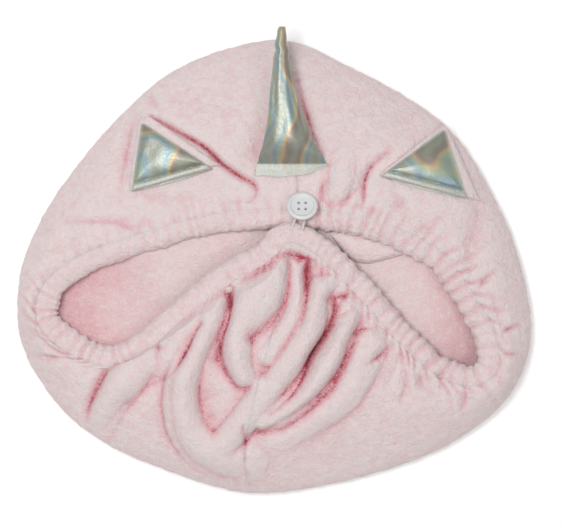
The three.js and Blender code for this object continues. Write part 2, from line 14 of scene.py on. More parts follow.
import bpy
import numpy as np
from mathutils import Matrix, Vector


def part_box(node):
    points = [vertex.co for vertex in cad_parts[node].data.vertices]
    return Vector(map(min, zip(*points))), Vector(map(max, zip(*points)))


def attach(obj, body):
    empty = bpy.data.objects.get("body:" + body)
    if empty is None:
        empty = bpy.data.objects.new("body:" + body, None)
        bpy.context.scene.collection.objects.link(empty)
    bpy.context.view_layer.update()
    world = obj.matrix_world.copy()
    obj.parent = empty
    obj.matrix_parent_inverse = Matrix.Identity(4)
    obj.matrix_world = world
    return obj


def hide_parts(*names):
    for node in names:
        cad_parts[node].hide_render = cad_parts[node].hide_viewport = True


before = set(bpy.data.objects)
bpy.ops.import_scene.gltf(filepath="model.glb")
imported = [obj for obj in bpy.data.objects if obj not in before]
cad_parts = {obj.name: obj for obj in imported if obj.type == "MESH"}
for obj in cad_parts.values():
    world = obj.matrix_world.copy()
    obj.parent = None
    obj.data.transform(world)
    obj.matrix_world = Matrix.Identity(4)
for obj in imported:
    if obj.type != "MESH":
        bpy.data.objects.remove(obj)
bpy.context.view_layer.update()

BODY = "root"
MM = 0.001
FULL_TURN = 2 * math.pi
QUARTER_TURN = math.pi / 2
SHARP = math.radians(70)
NOISE_GAIN = 1.6
TURNED = np.array([[0.36, 0.48, -0.8], [-0.8, 0.6, 0.0], [0.48, 0.64, 0.6]])

log = logging.getLogger("turban")
Array = np.ndarray


class Slot(Enum):
    """The record's material slots."""

    PLUSH = "plush"
    FOIL = "foil_cloth"
    PLASTIC = "white_plastic"
    THREAD = "white_thread"


# Numbers and curves


def smooth_step(value: Array, low: float, high: float) -> Array:
    """Rises smoothly from 0 at low to 1 at high.

    Args:
        value: Where to read the step.
        low: The value at which it starts.
        high: The value at which it ends.

    Returns:
        3 t squared less 2 t cubed, with t the share of the way from low to high.
    """
    share = np.clip((value - low) / (high - low), 0, 1)
    return share * share * (3 - 2 * share)


def cubic(near: list[Array], share: Array) -> Array:
    """A Catmull-Rom cubic between the second and third of four neighbours.

    Args:
        near: Four arrays of neighbouring values.
        share: How far along from the second to the third.

    Returns:
        The cubic whose slope at each end is half the step between that end's neighbours.
    """
    before, start, end, after = near
    slope = (end - before) / 2
    next_slope = (after - start) / 2
    cube = 2 * (start - end) + slope + next_slope
    square = 3 * (end - start) - 2 * slope - next_slope
    return ((cube * share + square) * share + slope) * share + start


def closed_curve(table: Array, at: Array) -> Array:
    """Reads a closed smooth curve through a table's rows.

    Args:
        table: One row of values for each station.
        at: Station numbers with fractions, which wrap round.

    Returns:
        One row of values for each station number.
    """
    count = len(table)
    turn = np.mod(at, count)
    index = np.floor(turn).astype(int)
    near = [table[(index + step) % count] for step in (-1, 0, 1, 2)]
    return cubic(near, (turn - index)[:, None])


def open_curve(points: Array, steps: int) -> Array:
    """A smooth curve through points, from the first to the last.

    Args:
        points: The points that it passes through.
        steps: How many equal steps of the curve's own number.

    Returns:
        steps + 1 points.
    """
    ends = np.vstack([2 * points[0] - points[1], points, 2 * points[-1] - points[-2]])
    at = np.linspace(0, len(points) - 1, steps + 1)
    index = np.minimum(np.floor(at).astype(int), len(points) - 2)
    near = [ends[index + step] for step in (0, 1, 2, 3)]
    return cubic(near, (at - index)[:, None])


def unit(vectors: Array) -> Array:
    """The vectors, each divided by its own length."""
    return vectors / np.maximum(np.linalg.norm(vectors, axis=-1, keepdims=True), 1e-12)


def lattice(cell: Array, seed: int) -> Array:
    """A fixed scrambled number from -1 to 1 for each whole cell of space.

    Args:
        cell: Whole numbers, three to a row.
        seed: Picks another scrambling.

    Returns:
        One number a row: the cell's numbers times large primes, mixed by shifts.
    """
    mixed = cell[..., 0] * 374761393 + cell[..., 1] * 668265263 + cell[..., 2] * 974634777
    mixed = (mixed + seed * 144665) & 0xFFFFFFFF
    mixed = ((mixed ^ (mixed >> 13)) * 1274126177) & 0xFFFFFFFF
    return ((mixed ^ (mixed >> 16)) & 0xFFFF) / 32767.5 - 1


def noise(points: Array, size: float, seed: int) -> Array:
    """Smooth gradient noise on turned axes.

    Args:
        points: Places in metres, three to a row.
        size: Width of one bump in metres.
        seed: Picks another pattern.

    Returns:
        Numbers from about -1 to 1: a slope drawn for each corner of the place's cell, read
        there, and the eight blended by smooth steps.
    """
    scaled = points @ TURNED / size
    cell = np.floor(scaled).astype(np.int64)
    share = scaled - cell
    smooth = share**3 * (share * (share * 6 - 15) + 10)
    total = np.zeros(points.shape[:-1])
    for corner in np.ndindex(2, 2, 2):
        weight = np.prod(np.where(corner, smooth, 1 - smooth), axis=-1)
        slopes = [
            lattice(cell + corner, 3 * seed + axis) * (share[..., axis] - corner[axis])
            for axis in range(3)
        ]
        total += weight * np.sum(slopes, axis=0)
    return total * NOISE_GAIN


def grid_normals(points: Array) -> Array:
    """Unit normals of a ring of rows of points, turned upward on average.

    Args:
        points: Rows round a ring, where the last row's neighbour is the first, and columns.

    Returns:
        The cross product of the step between a row's neighbours and the step between columns.
    """
    along = np.roll(points, -1, axis=0) - np.roll(points, 1, axis=0)
    across = np.gradient(points, axis=1)
    normals = unit(np.cross(along, across))
    return normals if normals[..., 2].mean() > 0 else -normals


def blurred(values: Array, passes: int) -> Array:
    """A ring of rows of values, each averaged with its four neighbours, passes times over."""
    for _ in range(passes):
        padded = np.pad(values, ((0, 0), (1, 1)), mode="edge")
        around = np.roll(values, 1, axis=0) + np.roll(values, -1, axis=0)
        values = (values * 2 + around + padded[:, :-2] + padded[:, 2:]) / 6
    return values


# Meshes from arrays


def put_mesh(name: str, points: Array, faces: Array, marks: dict[str, Array]) -> bpy.types.Object:
    """Makes an object at the origin from points and faces.

    Args:
        name: The piece's name.
        points: Vertices, three numbers a row.
        faces: Corner numbers, three or four a row, outward side counter-clockwise.
        marks: Vertex attributes by name.

    Returns:
        The new object, smooth shaded.
    """
    mesh = bpy.data.meshes.new(name)
    mesh.from_pydata(points.reshape(-1, 3).tolist(), [], faces.tolist())
    for mark, values in marks.items():
        attribute = mesh.attributes.new(mark, "FLOAT", "POINT")
        attribute.data.foreach_set("value", values.ravel().astype(np.float32))
    mesh.shade_smooth()
    mesh.set_sharp_from_angle(angle=SHARP)
    mesh.update()
    made = bpy.data.objects.new(name, mesh)
    bpy.context.scene.collection.objects.link(made)
    return made


def quads(index: Array) -> Array:
    """Four-cornered faces over a grid of vertex numbers, as rows of a, b, c, d."""
    corners = [index[:-1, :-1], index[:-1, 1:], index[1:, 1:], index[1:, :-1]]
    return np.stack(corners, axis=-1).reshape(-1, 4)


def facing_out(points: Array, faces: Array) -> Array:
    """Turns all the faces round where their solid has a negative volume.

    Args:
        points: Vertices, three numbers a row.
        faces: Faces of one closed solid, wound alike.

    Returns:
        The faces, wound so that the sum of the tetrahedra from the origin is positive.
    """
    a, b, c = (points[faces[:, corner]] for corner in (0, 1, 2))
    volume = np.sum(a * np.cross(b, c))
    if faces.shape[1] == 4:
        volume += np.sum(a * np.cross(c, points[faces[:, 3]]))
    return faces[:, ::-1] if volume < 0 else faces


def closed_sheet(outer: Array, inner: Array) -> tuple[Array, Array]:
    """Joins a fine outer grid and a coarser inner grid of half the steps all round.

    Args:
        outer: Rows and columns of points, an odd number of each.
        inner: Every second row's and column's partner on the inner side.

    Returns:
        The points and the triangles of one closed sheet.
    """
    rows, columns = outer.shape[:2]
    fine = np.arange(rows * columns).reshape(rows, columns)
    coarse = np.arange(inner.shape[0] * inner.shape[1]).reshape(inner.shape[:2]) + fine.size
    faces = [quads(fine)[:, [0, 1, 2]], quads(fine)[:, [0, 2, 3]]]
    faces += [quads(coarse)[:, [2, 1, 0]], quads(coarse)[:, [3, 2, 0]]]
    borders = [(fine[0], coarse[0], False), (fine[-1], coarse[-1], True)]
    borders += [(fine[:, 0], coarse[:, 0], True), (fine[:, -1], coarse[:, -1], False)]
    for edge, partner, turned in borders:
        first, middle, last = edge[:-2:2], edge[1:-1:2], edge[2::2]
        strips = [(first, partner[:-1], middle), (middle, partner[:-1], partner[1:])]
        strips.append((middle, partner[1:], last))
        for strip in strips:
            triangles = np.stack(strip, axis=-1)
            faces.append(triangles[:, ::-1] if turned else triangles)
    points = np.vstack([outer.reshape(-1, 3), inner.reshape(-1, 3)])
    return points, facing_out(points, np.vstack(faces))


def tube(rings: Array, closed: bool) -> tuple[Array, Array]:
    """The faces of a skin over rings of points.

    Args:
        rings: Rings along the tube, each a closed row of points.
        closed: True if the last ring meets the first, and otherwise both ends are capped.

    Returns:
        The points and the faces, as triangles.
    """
    count, sides = rings.shape[:2]
    index = np.arange(count * sides).reshape(count, sides)
    index = np.hstack([index, index[:, :1]])
    if closed:
        index = np.vstack([index, index[:1]])
    skin = quads(index)
    faces = [skin[:, [0, 1, 2]], skin[:, [0, 2, 3]]]
    points = rings.reshape(-1, 3)
    if not closed:
        middles = rings[[0, -1]].mean(axis=1)
        points = np.vstack([points, middles])
        ends = ((index[0], count * sides, True), (index[-1], count * sides + 1, False))
        for ring, middle, turned in ends:
            cap = np.stack([np.full(sides, middle), ring[:-1], ring[1:]], axis=-1)
            faces.append(cap[:, ::-1] if turned else cap)
    return points, facing_out(points, np.vstack(faces))


# Shader maths


class Value:
    """A number in a node tree that takes part in Python sums."""

    def __init__(self, graph: "Graph", socket: bpy.types.NodeSocket) -> None:
        """Wraps an output socket of a graph."""
        self.graph = graph
        self.socket = socket

    def __add__(self, other: Any) -> "Value":
        """This plus another value."""
        return self.graph.maths("ADD", self, other)

    def __radd__(self, other: Any) -> "Value":
        """A number plus this."""
        return self.graph.maths("ADD", other, self)

    def __sub__(self, other: Any) -> "Value":
        """This less another value."""
        return self.graph.maths("SUBTRACT", self, other)

    def __rsub__(self, other: Any) -> "Value":
        """A number less this."""
        return self.graph.maths("SUBTRACT", other, self)

    def __mul__(self, other: Any) -> "Value":
        """This times another value."""
        return self.graph.maths("MULTIPLY", self, other)

    def __rmul__(self, other: Any) -> "Value":
        """A number times this."""
        return self.graph.maths("MULTIPLY", other, self)

    def clipped(self) -> "Value":
        """This, held between 0 and 1."""
        return self.graph.maths("MINIMUM", self.graph.maths("MAXIMUM", self, 0.0), 1.0)

    def wave(self) -> "Value":
        """The sine of this."""
        return self.graph.maths("SINE", self, 0.0)


class Graph:
    """The node tree of one material."""

    def __init__(self, name: str) -> None:
        """Starts an empty material of that name."""
        self.material = bpy.data.materials.new(name)
        self.material.use_nodes = True
        self.tree = self.material.node_tree
        self.tree.nodes.clear()

    def node(self, kind: str, settings: dict[str, Any], sockets: dict[Any, Any]) -> bpy.types.Node:
        """Adds a node.

        Args:
            kind: The node's type.
            settings: Its properties, set first. stops fills a colour ramp.
            sockets: Values or links by input name or number.

        Returns:
            The node.
        """
        made = self.tree.nodes.new(kind)
        for key, value in settings.items():
            if key == "stops":
                self.stops(made.color_ramp, value)
            else:
                setattr(made, key, value)
        for key, value in sockets.items():
            if isinstance(value, Value):
                value = value.socket
            if isinstance(value, bpy.types.NodeSocket):
                self.tree.links.new(value, made.inputs[key])
            else:
                made.inputs[key].default_value = value
        return made

    def stops(self, ramp: bpy.types.ColorRamp, stops: list[tuple[float, tuple]]) -> None:
        """Sets a colour ramp's stops from pairs of place and colour."""
        while len(ramp.elements) < len(stops):
            ramp.elements.new(0.5)
        for element, (place, colour) in zip(ramp.elements, stops):
            element.position = place
            element.color = colour

    def maths(self, operation: str, first: Any, second: Any) -> Value:
        """Adds a Math node for an operation on two values."""
        made = self.node("ShaderNodeMath", {"operation": operation}, {0: first, 1: second})
        return Value(self, made.outputs[0])

    def mark(self, name: str) -> Value:
        """Reads a vertex attribute of the piece."""
        made = self.node("ShaderNodeAttribute", {"attribute_name": name}, {})
        return Value(self, made.outputs["Fac"])

    def place(self) -> bpy.types.NodeSocket:
        """The place in the object's own coordinates."""
        return self.node("ShaderNodeTexCoord", {}, {}).outputs["Object"]

    def cloud(self, scale: float, detail: float) -> Value:
        """Noise from 0 to 1 in object coordinates, scale bumps to the metre."""
        sockets = {"Vector": self.place(), "Scale": scale, "Detail": detail}
        made = self.node("ShaderNodeTexNoise", {}, sockets)
        return Value(self, made.outputs["Fac"])

    def blend(self, share: Any, first: Any, second: Any) -> bpy.types.NodeSocket:
        """Mixes two colours by a share of the second."""
        made = self.node("ShaderNodeMix", {"data_type": "RGBA"}, {0: share, 6: first, 7: second})
        return made.outputs[2]

    def bump(self, height: Value, distance: float, strength: float) -> bpy.types.NodeSocket:
        """A normal bumped by a height from 0 to 1, distance metres deep."""
        sockets = {"Height": height, "Distance": distance, "Strength": strength}
        return self.node("ShaderNodeBump", {}, sockets).outputs["Normal"]

    def finish(self, sockets: dict[str, Any]) -> bpy.types.Material:
        """Ends the tree in a Principled shader with these sockets, and returns the material."""
        shader = self.node("ShaderNodeBsdfPrincipled", {}, sockets)
        self.node("ShaderNodeOutputMaterial", {}, {"Surface": shader.outputs[0]})
        return self.material


# Finishes

Colour = tuple[float, float, float, float]


@dataclass(frozen=True)
class Plush:
    """Coral fleece: a short soft pile, pale on its tips, with painted shade deep pink in the creases."""

    tip: Colour = (0.850, 0.735, 0.730, 1)
    # side, slope and root are painted shade, from the slopes down into the creases.
    side: Colour = (0.815, 0.590, 0.605, 1)
    slope: Colour = (0.750, 0.390, 0.430, 1)
    root: Colour = (0.440, 0.045, 0.085, 1)
    frost: Colour = (0.90, 0.84, 0.83, 1)
    tuft_scale: float = 380
    lump_scale: float = 170
    fibre_scale: float = 820
    pile_depth: float = 0.0032

    def material(self) -> bpy.types.Material:
        """Tip, side, slope and root colours as painted shade by the hollow mark, varied by tufts and fibres.
        """
        graph = Graph("plush")
        hollow = graph.mark("hollow")
        tufts = graph.cloud(self.tuft_scale, 3)
        lumps = graph.cloud(self.lump_scale, 2)
        fibres = graph.cloud(self.fibre_scale, 2)
        patches = graph.cloud(30, 1)
        grain = (tufts - 0.5) * 0.55 + (lumps - 0.5) * 0.25 + (fibres - 0.5) * 0.70
        shade_and_mottle = hollow * (grain * 0.8 + 1.0) + grain * 1.10 + (patches - 0.5) * 0.07 + 0.02
        colours = graph.node(
            "ShaderNodeValToRGB",
            {"stops": [(0.0, self.tip), (0.25, self.side), (0.60, self.slope), (1.0, self.root)]},
            {"Fac": shade_and_mottle.clipped()},
        )
        # Pale fibre tips at random, kept out of the painted shade.
        frosted = ((tufts * 0.4 + fibres * 0.6 - 0.44) * 4.0).clipped() * (1 - hollow).clipped()
        shade = graph.blend(frosted * 0.6, colours.outputs["Color"], self.frost)
        height = tufts * 0.40 + lumps * 0.15 + fibres * 0.45
        return graph.finish(
            {
                "Base Color": shade,
                "Roughness": 0.95,
                "Specular IOR Level": 0.1,
                "Sheen Weight": 0.25,
                "Sheen Roughness": 0.5,
                "Sheen Tint": (1.0, 0.90, 0.90, 1),
                "Subsurface Weight": 0.30,
                "Subsurface Radius": (1.0, 0.45, 0.45),
                "Subsurface Scale": 0.003,
                "Normal": graph.bump(height, self.pile_depth, 0.62),
            }
        )


@dataclass(frozen=True)
class Foil:
    """Silver foil on cloth: a rainbow in soft patches, and pale speckled welts and hems, partly painted
    highlight.
    across_rate and along_rate turn the rainbow by the metre, and warp_share bends it."""

    name: str
    across_rate: float
    along_rate: float
    warp_share: float
    base: Colour = (0.50, 0.51, 0.43, 1)
    pale: Colour = (0.82, 0.83, 0.77, 1)
    crackle_scale: float = 620

    def material(self) -> bpy.types.Material:
        """Silver tinted by a warped wave of place, pale and less metallic by the welt mark: partly painted
        highlight.
        """
        graph = Graph(self.name)
        welt = graph.mark("welt")
        warp = graph.cloud(26, 0)
        bend = graph.cloud(70, 0)
        split = graph.node("ShaderNodeSeparateXYZ", {}, {"Vector": graph.place()})
        across = Value(graph, split.outputs["X"])
        along = Value(graph, split.outputs["Y"])
        phase = across * self.across_rate + along * self.along_rate + warp * self.warp_share + bend * 2
        hue = graph.node(
            "ShaderNodeValToRGB",
            {
                "stops": [
                    (0.0, (0.46, 0.49, 0.42, 1)),
                    (0.08, (0.50, 0.54, 0.48, 1)),
                    (0.24, (0.32, 0.46, 0.56, 1)),
                    (0.42, (0.48, 0.58, 0.44, 1)),
                    (0.60, (0.74, 0.56, 0.34, 1)),
                    (0.76, (0.44, 0.33, 0.30, 1)),
                    (0.92, (0.36, 0.36, 0.30, 1)),
                    (1.0, (0.44, 0.45, 0.38, 1)),
                ]
            },
            {"Fac": (phase.wave() * 0.5 + 0.5)},
        )
        speckle = graph.node(
            "ShaderNodeTexVoronoi",
            {"feature": "F1"},
            {"Vector": graph.place(), "Scale": self.crackle_scale},
        )
        cells = Value(graph, speckle.outputs["Distance"])
        fine = graph.cloud(900, 2)
        tint = graph.blend(0.80, self.base, hue.outputs["Color"])
        # The welts' and hems' pale speckle: crushed foil's speckle, partly a painted highlight along them.
        speckled = graph.blend((fine * 1.4 - 0.3).clipped(), (0.46, 0.47, 0.42, 1), self.pale)
        grey = graph.blend((welt * 0.85).clipped(), tint, speckled)
        return graph.finish(
            {
                "Base Color": grey,
                "Metallic": (0.9 - welt * 0.35).clipped(),
                "Roughness": (0.44 + fine * 0.20 + welt * 0.08).clipped(),
                "Normal": graph.bump(cells * 0.6 + fine * 0.4, 0.0004, 0.30),
            }
        )


@dataclass(frozen=True)
class Plastic:
    """Smooth white moulded plastic for the button."""

    colour: Colour = (0.78, 0.80, 0.80, 1)

    def material(self) -> bpy.types.Material:
        """White with a faint cloud in its gloss."""
        graph = Graph("plastic")
        cloud = graph.cloud(220, 3)
        return graph.finish(
            {
                "Base Color": graph.blend(cloud * 0.3, self.colour, (0.72, 0.74, 0.75, 1)),
                "Roughness": 0.26 + cloud * 0.10,
                "Coat Weight": 0.25,
                "Normal": graph.bump(cloud, 0.0001, 0.3),
            }
        )


@dataclass(frozen=True)
class Thread:
    """White twisted sewing thread."""

    colour: Colour = (0.84, 0.82, 0.79, 1)

    def material(self) -> bpy.types.Material:
        """White, ribbed by its twist."""
        graph = Graph("thread")
        fibres = graph.cloud(2600, 3)
        return graph.finish(
            {
                "Base Color": graph.blend(fibres * 0.4, self.colour, (0.66, 0.60, 0.58, 1)),
                "Roughness": 0.75,
                "Sheen Weight": 0.3,
                "Normal": graph.bump(fibres, 0.0003, 0.6),
            }
        )


# The hood


@dataclass(frozen=True)
class Picture:
    """The photograph's scale and centre, and how far above the floor it was taken from."""

    centre: tuple[float, float] = (281.0, 262.0)
    hood: tuple[float, float] = (274.0, 267.0)
    pixel: float = 0.5859 * MM
    distance: float = 3.0
    width: int = 562

    def places(self, path: tuple[tuple[float, float], ...], level: float) -> Array:
        """Turns pixels into metres from the hood's middle.

        Args:
            path: Pixels of the photograph.
            level: Height above the floor of what they show.

        Returns:
            Each pixel's offset from the picture's centre, times the pixel's size at that
            height, less the hood's own offset.
        """
        size = np.array([self.pixel, -self.pixel])
        nearer = 1 - level / self.distance
        offset = (np.array(self.centre) - self.hood) * size
        return (np.array(path, float) - self.centre) * size * nearer + offset


class Station(NamedTuple):
    """One station round the mouth, clockwise from the forehead seam, in shares."""

    edge: tuple[float, float]
    rim: tuple[float, float]
    rise: float
    gather: float


STATIONS = (
    Station((0.062, 1.0), (0.094, 0.222), 0.76, 0.7),
    Station((0.297, 0.884), (0.215, 0.213), 0.76, 1.0),
    Station((0.539, 0.733), (0.344, 0.191), 0.76, 0.9),
    Station((0.72, 0.562), (0.472, 0.14), 0.73, 0.55),
    Station((0.871, 0.276), (0.621, 0.049), 0.68, 0.8),
    Station((0.957, 0.022), (0.703, -0.053), 0.65, 1.0),
    Station((1.0, -0.227), (0.785, -0.2), 0.63, 0.8),
    Station((0.988, -0.396), (0.836, -0.333), 0.6, 0.5),
    Station((0.93, -0.547), (0.832, -0.449), 0.58, 0.5),
    Station((0.824, -0.676), (0.742, -0.489), 0.6, 1.0),
    Station((0.648, -0.804), (0.605, -0.418), 0.66, 0.9),
    Station((0.457, -0.889), (0.477, -0.276), 0.73, 0.75),
    Station((0.258, -0.951), (0.352, -0.116), 0.83, 0.7),
    Station((0.063, -0.991), (0.227, 0.036), 0.95, 0.5),
    Station((-0.082, -1.0), (0.067, 0.14), 1.0, 0.3),
    Station((-0.223, -0.973), (-0.047, 0.044), 0.96, 0.3),
    Station((-0.434, -0.893), (-0.203, -0.058), 0.88, 0.3),
    Station((-0.625, -0.8), (-0.355, -0.187), 0.79, 0.2),
    Station((-0.789, -0.671), (-0.492, -0.329), 0.68, 0.2),
    Station((-0.906, -0.511), (-0.625, -0.404), 0.59, 0.7),
    Station((-0.98, -0.347), (-0.773, -0.356), 0.55, 1.0),
    Station((-1.0, -0.182), (-0.887, -0.244), 0.54, 0.9),
    Station((-0.977, 0.022), (-0.875, -0.107), 0.57, 0.4),
    Station((-0.891, 0.244), (-0.773, 0.0), 0.63, 0.2),
    Station((-0.77, 0.444), (-0.629, 0.071), 0.65, 0.2),
    Station((-0.617, 0.649), (-0.445, 0.138), 0.7, 0.3),
    Station((-0.414, 0.853), (-0.25, 0.196), 0.74, 0.5),
    Station((-0.172, 0.969), (-0.074, 0.222), 0.76, 0.6),
)
FRONT_SEAM = 0
BACK_SEAM = 14


class FoldKind(Enum):
    """How a fold shapes the cloth: a raised rounded tube, a narrow crease or a soft trough."""

    RIDGE = "ridge"
    CREASE = "crease"
    TROUGH = "trough"


class Fold(NamedTuple):
    """A fold along a smooth curve. reach and height are its half width and its height or depth
    in millimetres at its start, middle and end. lip is how far the side on the left of the way
    slides over a crease, in millimetres, or the right side where it is below nought."""

    kind: FoldKind
    path: tuple[tuple[float, float], ...]
    reach: tuple[float, float, float]
    height: tuple[float, float, float]
    lip: float = 0.0


